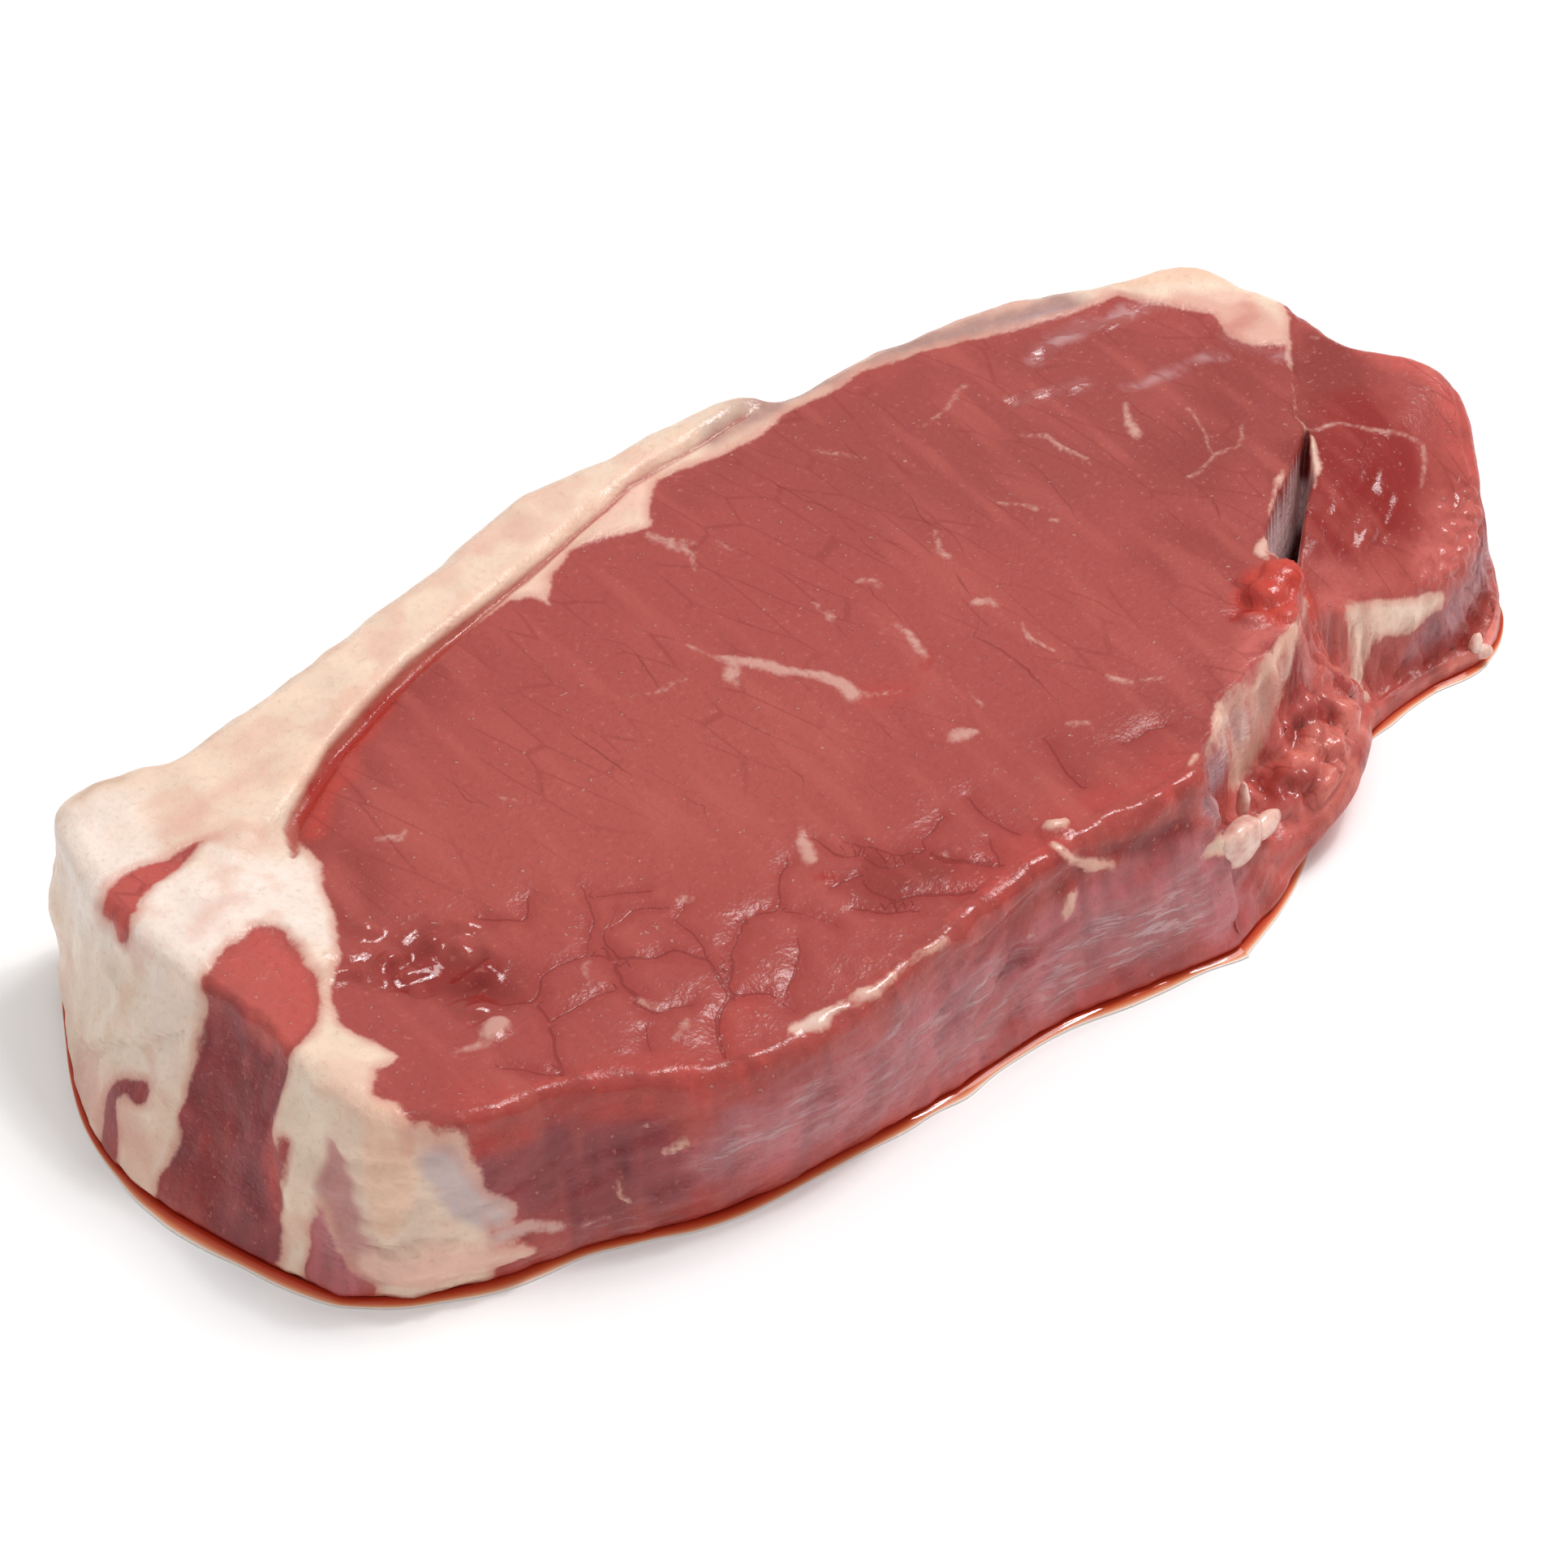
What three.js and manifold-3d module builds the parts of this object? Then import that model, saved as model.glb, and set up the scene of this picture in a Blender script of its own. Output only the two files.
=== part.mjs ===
// Raw sirloin steak: one thick slice of meat that lies on its lower cut face.
// Millimetres. +X runs to the end with the side muscle, +Y to the fat cap, +Z up.
import * as THREE from 'three';
import { mergeVertices } from 'three/addons/utils/BufferGeometryUtils.js';
import Module from 'manifold-3d';

// Driving dimensions
const THICKNESS = 24; // of the slice where it lies flat
const SHOULDER = 2.2; // radius between the upper cut face and the wall
const SHOULDER_SHARE = 1 / 3; // of the height there, at most
const FOOT_RADIUS = 1.6; // radius between the wall and the lower cut face
const CELLS_LONG = 72; // faces along the slice
const CELLS_WIDE = 34; // faces across it
const WALL_ROWS = 4;
const WALL_FLARE = 1.2; // above 1, a spreading foot flares at the bottom
const RIM_STEPS = 40; // for measuring the rim between two stations
const DIRECTION_REACH = 2; // neighbours that give a rim point its outward direction

// Upper rim, anticlockwise from the front corner of the tail end. Each station has x, y,
// how far the foot of the wall spreads beyond the rim, and how far the wall bulges halfway.
const rimStations = [
  // front wall of the eye muscle
  [-83.5, -31, 6, 1],
  [-75, -38.8, 2.5, 0.5],
  [-62.5, -40.6, 2.5, 0.5],
  [-46.5, -47.3, 0.5, 0.8],
  [-30, -48, -0.3, 1],
  [-16, -45.2, 2, 0.5],
  [2, -41.6, 3.6, 0],
  [18, -42.3, 4, 0.5],
  [27, -41, 6, 0.5],
  // torn shelf at the front, which overhangs its foot
  [37, -41.4, 1.5, 0.5],
  [48.5, -39.6, -4.5, 0.5],
  [57.2, -34, -3, 0.5],
  [65.3, -25.9, 0, 0],
  // thin flap under the side muscle
  [75, -24, 0, 0],
  [84, -23.6, 0, 0],
  [91.6, -18.4, 0.3, 0],
  // side muscle
  [95.6, -8, 0, 0.5],
  [99.5, 1, -1, 0.8],
  [97.6, 8, -1, 0.8],
  [92, 15, 0, 0.8],
  [91, 23, 1, 0.5],
  // knob of fat, and thin fat over the back of the eye muscle
  [88, 31, 1, 0.5],
  [85.8, 37, 0, 0.8],
  [77, 40.2, 1, 0.5],
  [60, 45.8, 1.2, 0.8],
  [40, 46.8, 1.5, 0.8],
  [26, 45.6, 2.5, 0.5],
  // fat cap
  [20, 48, 0.8, 1],
  [0, 47.6, 1, 1],
  [-14, 46.4, 1, 1],
  [-28, 41, 1.5, 1],
  [-50, 34.8, 1.5, 1],
  [-70, 30.5, 1.5, 1],
  [-85.5, 30, 0.5, 0.5],
  // tail end, whose foot spreads
  [-90, 17, 4, 0.3],
  [-90, 3, 9, 0.8],
  [-86.5, -12, 11, 1],
];
// Stations at which the rim turns from one side of the slice to the next
const CORNER = { frontLeft: 0, frontRight: 15, backRight: 22, backLeft: 33 };

// Lines on the upper cut face, from end to end
const fatSeam = [
  [-78, 6], [-66, 12.5], [-55, 19.5], [-40, 26.8], [-20, 33], [-5, 39.3], [10, 42.3], [28, 46],
];
const eyeMuscleEdge = [
  [96, 34], [85, 18], [76, 6], [75, 2], [66, -4.5], [59, -11], [56, -17], [56, -21],
  [51, -25.5], [41, -29.4], [34.5, -32.5], [28.5, -38], [24, -47],
];
const sideMuscleEdge = [
  [48, -20], [58, -20.5], [67, -20.6], [80, -20.9], [87, -17.6], [91.5, -14], [98, -6.5], [105, 3],
];

// Mounds and hollows of the upper cut face: x, y, reach along X and along Y, height
const swells = [
  [-90, -10, 15, 20, 1.8], // fat and lean of the tail end
  [-64, -19, 9, 9, -1.7], // wet hollow in the eye muscle
  [-38, -50, 24, 13, -2.4], // sagging front rim
  [5, 5, 60, 26, 0.6], // crown of the eye muscle
  [81, 37, 6, 4.5, 0.7], // knob of fat
  [54, -18.5, 4, 3.5, 1.2], // raw bulge at the mouth of the cleft
];
// Lumps of the torn shelf, in the same terms
const shelfLumps = [
  [53, -28, 5, 4, 1.6],
  [46, -36, 5, 4, 1.8],
  [41, -31, 3, 3, -1.6],
  [60, -27, 3.5, 3, 1],
  [29, -42, 5.5, 7, 6.5],
];
const FAT_STEP = { height: 1.3, run: 3 }; // from the lean up to the fat cap
const TAIL_SLOPE = { x: [-78, -66], y: [-14, 8] }; // towards the tail end the step widens to a slope
const SHELF_LEVEL = { height: 16, atY: -22, fall: 0.5 };
const FLAP = { height: 3, from: 54, to: 68 }; // the shelf runs down to it along X
// Drops at the two muscle edges: where they start and end, as distances from the line
const EYE_DROP = [-0.8, 2.4];
const SIDE_DROP = [-1.2, 3];
const SIDE_MUSCLE = { height: 23, hinge: [57, -13], falls: [0.35, -0.94], slope: 0.73, ease: 3 };

// Cleft between the two muscles: x, y and half its width at the top
const cleft = [
  [76, 3, 0.3], [71, -2.6, 1.4], [66, -6.4, 1.9], [61, -11, 2.3], [58.8, -14, 2], [57.4, -16.8, 0.5],
];
const CLEFT_DEPTH = 15;
const CLEFT_FULL_HALF = 1.4; // narrower places are shallower in proportion
const CLEFT_WAIST = { share: 0.7, depth: 0.6 }; // of the width, at this share of the depth
const CLEFT_FLOOR = 0.15; // share of the width

// Curled fat at the foot of the torn shelf: centre, half lengths, turn about Z in degrees
const CURL_FACES = [14, 9];
const fatCurls = [
  { centre: [30.5, -42.5, 12], half: [4.6, 2.6, 3.6], turn: 10 },
  { centre: [35.8, -41.2, 9.6], half: [3, 2, 2], turn: 35 },
  { centre: [34, -38, 13], half: [2.4, 1.7, 3], turn: -20 },
];

const { smoothstep, lerp } = THREE.MathUtils;

/** Distance from a polyline, positive on its right-hand side. */
function sideDistance(x, y, path) {
  let best = Infinity;
  let side = 1;
  for (let i = 0; i + 1 < path.length; i++) {
    const [ax, ay] = path[i];
    const dx = path[i + 1][0] - ax;
    const dy = path[i + 1][1] - ay;
    const along = THREE.MathUtils.clamp(((x - ax) * dx + (y - ay) * dy) / (dx * dx + dy * dy), 0, 1);
    const distance = Math.hypot(x - ax - along * dx, y - ay - along * dy);
    if (distance < best) {
      best = distance;
      side = Math.sign((y - ay) * -dx + (x - ax) * dy) || 1;
    }
  }
  return best * side;
}

/** Sum of bell-shaped mounds and hollows at a point. */
function mounds(x, y, list) {
  return list.reduce((sum, [cx, cy, rx, ry, height]) => (
    sum + height * Math.exp(-(((x - cx) / rx) ** 2) - ((y - cy) / ry) ** 2)
  ), 0);
}

/** Height of the upper cut face, out to its rim. */
function faceHeight(x, y) {
  const step = smoothstep(-sideDistance(x, y, fatSeam), 0, FAT_STEP.run);
  const fatCap = lerp(smoothstep(y, ...TAIL_SLOPE.y), step, smoothstep(x, ...TAIL_SLOPE.x));
  const eye = THICKNESS + mounds(x, y, swells) + FAT_STEP.height * fatCap;
  const shelf = SHELF_LEVEL.height + SHELF_LEVEL.fall * (y - SHELF_LEVEL.atY) + mounds(x, y, shelfLumps);
  const front = lerp(shelf, FLAP.height, smoothstep(x, FLAP.from, FLAP.to));
  const [hx, hy] = SIDE_MUSCLE.hinge;
  const past = (x - hx) * SIDE_MUSCLE.falls[0] + (y - hy) * SIDE_MUSCLE.falls[1];
  const eased = (past + Math.hypot(past, SIDE_MUSCLE.ease)) / 2;
  const side = SIDE_MUSCLE.height - SIDE_MUSCLE.slope * eased;
  const right = lerp(side, front, smoothstep(sideDistance(x, y, sideMuscleEdge), ...SIDE_DROP));
  const beyondEye = smoothstep(-sideDistance(x, y, eyeMuscleEdge), ...EYE_DROP);
  return lerp(eye, right, beyondEye);
}

/** Points along the rim between two stations, evenly spaced by length. */
function sampleSide(from, to, count) {
  const steps = RIM_STEPS * (to - from);
  const station = (i) => from + ((to - from) * i) / steps;
  const at = (s) => rimPoint((s / rimStations.length) % 1);
  const reached = [0];
  for (let i = 1; i <= steps; i++) {
    reached.push(reached[i - 1] + at(station(i)).distanceTo(at(station(i - 1))));
  }
  const samples = [];
  for (let k = 0, i = 0; k < count; k++) {
    const goal = (reached[steps] * k) / count;
    while (reached[i + 1] < goal) i++;
    const share = (goal - reached[i]) / (reached[i + 1] - reached[i]);
    samples.push((lerp(station(i), station(i + 1), share) / rimStations.length) % 1);
  }
  return samples;
}

const rimCurve = new THREE.CatmullRomCurve3(
  rimStations.map(([x, y]) => new THREE.Vector3(x, y, 0)), true, 'centripetal',
);
const wallCurve = new THREE.CatmullRomCurve3(
  rimStations.map(([, , spread, bulge]) => new THREE.Vector3(spread, bulge, 0)), true, 'catmullrom', 0.5,
);

/** Point of the rim at the height of the face. */
function rimPoint(t) {
  const p = rimCurve.getPoint(t);
  return p.setZ(faceHeight(p.x, p.y));
}

/** The rim as a loop of points, each with its outward direction in plan and its wall's shape. */
function makeRim() {
  const last = rimStations.length;
  const places = [
    ...sampleSide(CORNER.frontLeft, CORNER.frontRight, CELLS_LONG),
    ...sampleSide(CORNER.frontRight, CORNER.backRight, CELLS_WIDE),
    ...sampleSide(CORNER.backRight, CORNER.backLeft, CELLS_LONG),
    ...sampleSide(CORNER.backLeft, last, CELLS_WIDE),
  ];
  const rim = places.map((t) => {
    const wall = wallCurve.getPoint(t);
    return { point: rimPoint(t), spread: wall.x, bulge: wall.y };
  });
  rim.forEach((place, i) => {
    const before = rim.at(i - DIRECTION_REACH).point;
    const after = rim[(i + DIRECTION_REACH) % rim.length].point;
    place.out = new THREE.Vector3(after.y - before.y, before.x - after.x, 0).normalize();
  });
  return rim;
}

/** Moves a rim point outwards in plan and gives it a height. */
function offset(place, outwards, height) {
  return place.point.clone().addScaledVector(place.out, outwards).setZ(height);
}

/** Radius of the shoulder, smaller where the slice is thin. */
function shoulderAt(place) {
  return Math.min(SHOULDER, place.point.z * SHOULDER_SHARE);
}

/** Loops of points down the wall: shoulder, wall with its bulge, and foot. */
function wallLoops(rim) {
  const loops = [];
  const quarter = Math.PI / 2;
  for (const turn of [quarter / 2, quarter]) {
    loops.push(rim.map((place) => {
      const radius = shoulderAt(place);
      return offset(place, -radius * (1 - Math.sin(turn)), place.point.z - radius * (1 - Math.cos(turn)));
    }));
  }
  for (let row = 1; row <= WALL_ROWS; row++) {
    const down = row / WALL_ROWS;
    loops.push(rim.map((place) => offset(
      place,
      place.spread * down ** WALL_FLARE + place.bulge * Math.sin(Math.PI * down),
      lerp(place.point.z - shoulderAt(place), shoulderAt(place) * (FOOT_RADIUS / SHOULDER), down),
    )));
  }
  loops.push(rim.map((place) => offset(place, place.spread - FOOT_RADIUS, 0)));
  return loops;
}

/** Upper cut face: a grid that blends the four sides of the rim, lifted to its height. */
function faceGrid(rim) {
  const inner = rim.map((place) => offset(place, -shoulderAt(place), place.point.z));
  const [nu, nv] = [CELLS_LONG, CELLS_WIDE];
  const index = (i, j) => {
    if (j === 0) return i;
    if (i === nu) return nu + j;
    if (j === nv) return nu + nv + (nu - i);
    return i === 0 ? (2 * nu + nv + (nv - j)) % rim.length : -1;
  };
  const edge = (i, j) => inner[index(i, j)];
  const points = [];
  for (let j = 0; j <= nv; j++) {
    for (let i = 0; i <= nu; i++) {
      const [u, v] = [i / nu, j / nv];
      const p = index(i, j) >= 0 ? edge(i, j).clone() : new THREE.Vector3()
        .addScaledVector(edge(i, 0), 1 - v).addScaledVector(edge(i, nv), v)
        .addScaledVector(edge(0, j), 1 - u).addScaledVector(edge(nu, j), u)
        .addScaledVector(edge(0, 0), -(1 - u) * (1 - v)).addScaledVector(edge(nu, 0), -u * (1 - v))
        .addScaledVector(edge(0, nv), -(1 - u) * v).addScaledVector(edge(nu, nv), -u * v);
      p.z = faceHeight(p.x, p.y);
      points.push(p);
    }
  }
  return { points, index };
}

/** The whole slice as one closed mesh. */
function sliceGeometry() {
  const rim = makeRim();
  const face = faceGrid(rim);
  const loops = wallLoops(rim);
  const points = [...face.points];
  const faces = [];
  const row = CELLS_LONG + 1;
  for (let j = 0; j < CELLS_WIDE; j++) {
    for (let i = 0; i < CELLS_LONG; i++) {
      const a = j * row + i;
      faces.push([a, a + 1, a + row + 1], [a, a + row + 1, a + row]);
    }
  }
  // where each place of the rim's loop sits in the grid
  let upper = new Array(rim.length);
  for (let j = 0; j <= CELLS_WIDE; j++) {
    for (let i = 0; i <= CELLS_LONG; i++) {
      if (face.index(i, j) >= 0) upper[face.index(i, j)] = j * row + i;
    }
  }
  for (const loop of loops) {
    const lower = loop.map((p) => points.push(p) - 1);
    loop.forEach((p, k) => {
      const next = (k + 1) % loop.length;
      faces.push([upper[k], lower[k], lower[next]], [upper[k], lower[next], upper[next]]);
    });
    upper = lower;
  }
  const base = loops.at(-1).map((p) => new THREE.Vector2(p.x, p.y));
  for (const [a, b, c] of THREE.ShapeUtils.triangulateShape(base, [])) {
    faces.push([upper[c], upper[b], upper[a]]);
  }
  const geometry = new THREE.BufferGeometry().setFromPoints(points);
  geometry.setIndex(faces.flat());
  return geometry;
}

/** Wedge that opens the cleft, from above the face down to its narrow bottom. */
function cleftGeometry() {
  const points = [];
  const faces = [];
  cleft.forEach(([x, y, half], i) => {
    const before = cleft[Math.max(i - 1, 0)];
    const after = cleft[Math.min(i + 1, cleft.length - 1)];
    const across = new THREE.Vector3(after[1] - before[1], before[0] - after[0], 0).normalize();
    const middle = new THREE.Vector3(x, y, 0);
    const depth = CLEFT_DEPTH * Math.min(1, half / CLEFT_FULL_HALF);
    const rows = [
      [half, THICKNESS + SHOULDER],
      [half * CLEFT_WAIST.share, THICKNESS - depth * CLEFT_WAIST.depth],
      [half * CLEFT_FLOOR, THICKNESS - depth],
    ];
    for (const [w, z] of rows) points.push(middle.clone().addScaledVector(across, w).setZ(z));
    for (const [w, z] of rows.reverse()) points.push(middle.clone().addScaledVector(across, -w).setZ(z));
  });
  const ring = points.length / cleft.length;
  for (let i = 0; i + 1 < cleft.length; i++) {
    for (let k = 0; k < ring; k++) {
      const [a, b] = [i * ring + k, i * ring + ((k + 1) % ring)];
      faces.push([a, b, b + ring], [a, b + ring, a + ring]);
    }
  }
  for (let k = 1; k + 1 < ring; k++) {
    const end = (cleft.length - 1) * ring;
    faces.push([0, k + 1, k], [end, end + k, end + k + 1]);
  }
  const geometry = new THREE.BufferGeometry().setFromPoints(points);
  geometry.setIndex(faces.flat());
  return geometry;
}

const wasm = await Module();
wasm.setup();

/** Closed three.js mesh as a solid that can be joined and cut. */
function toSolid(geometry) {
  const bare = geometry.clone();
  bare.deleteAttribute('normal');
  bare.deleteAttribute('uv');
  const merged = mergeVertices(bare, 1e-3);
  return new wasm.Manifold(new wasm.Mesh({
    numProp: 3,
    vertProperties: new Float32Array(merged.getAttribute('position').array),
    triVerts: new Uint32Array(merged.getIndex().array),
  }));
}

/** Steak as one solid: the slice, less its cleft, with the curled fat fused on. */
function steakGeometry() {
  let solid = toSolid(sliceGeometry()).subtract(toSolid(cleftGeometry()));
  for (const { centre, half, turn } of fatCurls) {
    const curl = new THREE.SphereGeometry(1, ...CURL_FACES)
      .scale(...half)
      .rotateZ(THREE.MathUtils.degToRad(turn))
      .translate(...centre);
    solid = solid.add(toSolid(curl));
  }
  const mesh = solid.getMesh();
  const geometry = new THREE.BufferGeometry();
  geometry.setAttribute('position', new THREE.BufferAttribute(mesh.vertProperties, 3));
  geometry.setIndex(new THREE.BufferAttribute(mesh.triVerts, 1));
  geometry.computeBoundingBox();
  const middle = geometry.boundingBox.getCenter(new THREE.Vector3());
  geometry.translate(-middle.x, -middle.y, -geometry.boundingBox.min.z);
  geometry.computeVertexNormals();
  return geometry;
}

const meat = new THREE.MeshStandardMaterial({ color: 0xa8423f, roughness: 0.45, metalness: 0 });
const steak = new THREE.Mesh(steakGeometry(), meat);
steak.name = 'steak';

const group = new THREE.Group();
group.add(steak);
export default group;
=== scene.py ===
import math

import bpy
import numpy as np
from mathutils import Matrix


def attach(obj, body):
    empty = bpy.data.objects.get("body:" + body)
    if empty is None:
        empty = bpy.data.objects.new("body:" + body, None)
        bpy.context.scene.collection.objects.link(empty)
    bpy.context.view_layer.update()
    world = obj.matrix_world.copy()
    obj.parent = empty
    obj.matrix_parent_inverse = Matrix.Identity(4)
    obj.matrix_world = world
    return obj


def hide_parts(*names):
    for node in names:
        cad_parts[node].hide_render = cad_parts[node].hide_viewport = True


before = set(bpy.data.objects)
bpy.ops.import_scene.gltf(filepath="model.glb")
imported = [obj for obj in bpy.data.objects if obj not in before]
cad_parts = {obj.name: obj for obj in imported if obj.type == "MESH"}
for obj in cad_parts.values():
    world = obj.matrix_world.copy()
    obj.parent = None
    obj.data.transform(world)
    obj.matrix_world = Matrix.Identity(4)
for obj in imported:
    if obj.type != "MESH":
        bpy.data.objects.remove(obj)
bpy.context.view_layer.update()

# ----------------------------------------------------------------------------------------------
# Steak slice. One thick slice across the short loin: the eye muscle, a fat cap along the back,
# hard fat with strips of lean at the tail end, and a side muscle at the wide end, parted from the
# eye by a cleft and a torn shelf. It is one piece of meat, cut with a knife above and below.

# Lengths are in millimetres, and the mesh is turned to metres as it is made.
# Upper rim, anticlockwise from the front corner of the tail end: x, y, how far the foot of the
# wall spreads beyond the rim, and how far the wall bulges halfway down.
rim_stations = np.array([
    # front wall of the eye muscle
    (-83.5, -31, 6, 1), (-75, -38.8, 2.5, 0.5), (-62.5, -40.6, 2.5, 0.5), (-46.5, -47.3, 0.5, 0.8),
    (-30, -48, -0.3, 1), (-16, -45.2, 2, 0.5), (2, -41.6, 3.6, 0), (18, -42.3, 4, 0.5), (27, -41, 6, 0.5),
    # torn shelf and the flap under the side muscle
    (37, -41.4, 1.5, 0.5), (48.5, -39.6, -4.5, 0.5), (57.2, -34, -3, 0.5), (65.3, -25.9, 0, 0),
    (75, -24, 0, 0), (84, -23.6, 0, 0), (91.6, -18.4, 0.3, 0),
    # side muscle
    (95.6, -8, 0, 0.5), (99.5, 1, -1, 0.8), (97.6, 8, -1, 0.8), (92, 15, 0, 0.8), (91, 23, 1, 0.5),
    # knob of fat, thin fat over the back, and fat cap
    (88, 31, 1, 0.5), (85.8, 37, 0, 0.8), (77, 40.2, 1, 0.5), (60, 45.8, 1.2, 0.8), (40, 46.8, 1.5, 0.8),
    (26, 45.6, 2.5, 0.5), (20, 48, 0.8, 1), (0, 47.6, 1, 1), (-14, 46.4, 1, 1), (-28, 41, 1.5, 1),
    (-50, 34.8, 1.5, 1), (-70, 30.5, 1.5, 1), (-85.5, 30, 0.5, 0.5),
    # tail end
    (-90, 17, 4, 0.3), (-90, 3, 9, 0.8), (-86.5, -12, 11, 1),
], float)
rim_corners = (0, 15, 22, 33, 37)  # stations at which the rim turns from one side to the next
slice_middle = np.array([0.416, 0.289])  # the slice is centred on its own box

# lines seen from above; the line of the cleft has its half width last
fat_seam = [(-78, 6), (-66, 12.5), (-55, 19.5), (-40, 26.8), (-20, 33), (-5, 39.3), (10, 42.3), (28, 46)]
shelf_edge = [(56, -21), (51, -25.5), (41, -29.4), (34.5, -32.5), (28.5, -38), (24, -47)]
eye_edge = [(96, 34), (85, 18), (76, 6), (75, 2), (66, -4.5), (59, -11), (56, -17), *shelf_edge]
side_edge = [
    (48, -20), (58, -20.5), (67, -20.6), (80, -20.9), (87, -17.6), (91.5, -14), (98, -6.5), (105, 3),
]
cleft_line = [
    (76, 3, 0.3), (71, -2.6, 1.4), (66, -6.4, 1.9), (61, -11, 2.3), (58.8, -14, 2), (57.4, -16.8, 0.5),
]
cleft_depth, cleft_full_width, cleft_least_width = 15, 1.4, 0.2
cleft_profile = [0, 0.12, 0.3, 0.85, 1], [0, 0.12, 0.6, 1, 1]  # share of its width in, share of its depth
thickness = 24
fat_step, fat_step_edge = 1.3, (-0.3, 2.2)
tail_slope_x, tail_slope_y = (-78, -66), (-14, 8)  # where the step widens to a slope at the tail end
shelf_height, shelf_rise, shelf_y = 16, 0.5, -22
flap_height, shelf_to_flap = 3, (54, 68)
side_height, side_fall, side_round = 23, 0.73, 3
side_crest, side_downhill = (57, -13), (0.35, -0.94)
side_edge_width, eye_edge_width, raggedness = (-1.2, 2.4), (-0.6, 2.0), 3.2
shoulder, foot_radius = 2.2, 1.6
least_heights = 3  # shoulders that the height of the wall holds at least
# mounds and hollows of the upper face, and lumps of the torn shelf: x, y, reach in x and y, height
swells = [
    (-90, -10, 15, 20, 1.8), (-64, -19, 9, 9, -1.7), (-38, -50, 24, 13, -2.4), (5, 5, 60, 26, 0.6),
    (81, 37, 6, 4.5, 0.7), (54, -18.5, 4, 3.5, 1.2),
]
shelf_lumps = [
    (53, -28, 5, 4, 1.6), (46, -36, 5, 4, 1.8), (41, -31, 3, 3, -1.6), (60, -27, 3.5, 3, 1),
    (29, -42, 5.5, 7, 6.5),
]


def smooth(value, low, high):
    """Rises from 0 at low to 1 at high, with level ends: 3t^2 - 2t^3."""
    t = np.clip((value - low) / (high - low), 0, 1)
    return t * t * (3 - 2 * t)


def nearest_line(x, y, rows, far=np.inf):
    """Signed distance to the nearest of a set of lines, positive on its right-hand side and in size
    no more than far, and the line's half width there, from the last number of its points."""
    best = np.full(x.shape, far)
    side, half = np.ones(x.shape), np.zeros(x.shape)
    for row in rows:
        for (ax, ay, ar), (bx, by, br) in zip(row, row[1:]):
            dx, dy = bx - ax, by - ay
            along = np.clip(((x - ax) * dx + (y - ay) * dy) / (dx * dx + dy * dy), 0, 1)
            distance = np.hypot(x - ax - along * dx, y - ay - along * dy)
            nearer = distance < best
            best = np.where(nearer, distance, best)
            side = np.where(nearer, np.where((x - ax) * dy - (y - ay) * dx >= 0, 1, -1), side)
            half = np.where(nearer, ar + along * (br - ar), half)
    return best * side, half


def side_distance(x, y, path):
    """Signed distance to one line, positive on its right-hand side."""
    return nearest_line(x, y, [[(*point[:2], 0) for point in path]])[0]


def inside(x, y, outline):
    """Signed distance to a closed outline, positive inside: least distance, sign by edges crossed."""
    closed = outline + outline[:1]
    within = np.zeros(x.shape, bool)
    for (ax, ay), (bx, by) in zip(closed, closed[1:]):
        if ay != by:
            within ^= ((ay > y) != (by > y)) & (x < ax + (bx - ax) * (y - ay) / (by - ay))
    distance = np.abs(side_distance(x, y, closed))
    return np.where(within, distance, -distance)


def mounds(x, y, rows):
    """Sum of bell-shaped mounds and hollows."""
    return sum(h * np.exp(-((x - cx) / rx) ** 2 - ((y - cy) / ry) ** 2) for cx, cy, rx, ry, h in rows)


lattice_size, jitter_size = 32, 64
octave_shift = 5.37  # keeps the lattice points of two octaves apart
draw = np.random.default_rng(7)
lattice = draw.uniform(-1, 1, (lattice_size,) * 3)
jitter = draw.uniform(0.1, 0.9, (jitter_size, jitter_size, 3))[..., :2]


def noise(points, size, octaves=1, shift=0.0):
    """Smooth noise from -1 to 1: random values on a box lattice of the given size, blended evenly
    between its corners. Each further octave is half as large and half as strong."""
    total = np.zeros(len(points))
    for octave in range(octaves):
        place = points / np.asarray(size, float) * 2 ** octave + octave_shift * octave + shift
        low = np.floor(place).astype(int)
        part = place - low
        part = part * part * (3 - 2 * part)
        for corner in np.ndindex(2, 2, 2):
            weight = np.where(corner, part, 1 - part).prod(axis=1)
            i, j, k = ((low + corner) % lattice_size).T
            total += weight * lattice[i, j, k] * 0.5 ** octave
    return total


def creases(points, size, octaves, shift):
    """Round folds with sharp creases between them: a half, less the noise without its sign."""
    return 0.5 - np.abs(noise(points, size, octaves, shift))


def cell_border(x, y, size_x, size_y):
    """Distance to the border between the cells round the points of a jittered grid, in cell widths:
    the way to the line midway between the two nearest points."""
    u, v = x / size_x, y / size_y
    i, j = np.floor(u).astype(int), np.floor(v).astype(int)
    centres = []
    for di, dj in np.ndindex(3, 3):
        a, b = i + di - 1, j + dj - 1
        spot = jitter[a % jitter_size, b % jitter_size]
        centres.append(np.stack([a + spot[:, 0] - u, b + spot[:, 1] - v], axis=1))
    centres = np.array(centres)
    order = np.argsort((centres ** 2).sum(axis=2), axis=0)[:2]
    every = np.arange(len(x))
    first, second = centres[order[0], every], centres[order[1], every]
    across = second - first
    return ((first + second) / 2 * across).sum(axis=1) / np.linalg.norm(across, axis=1)


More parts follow.
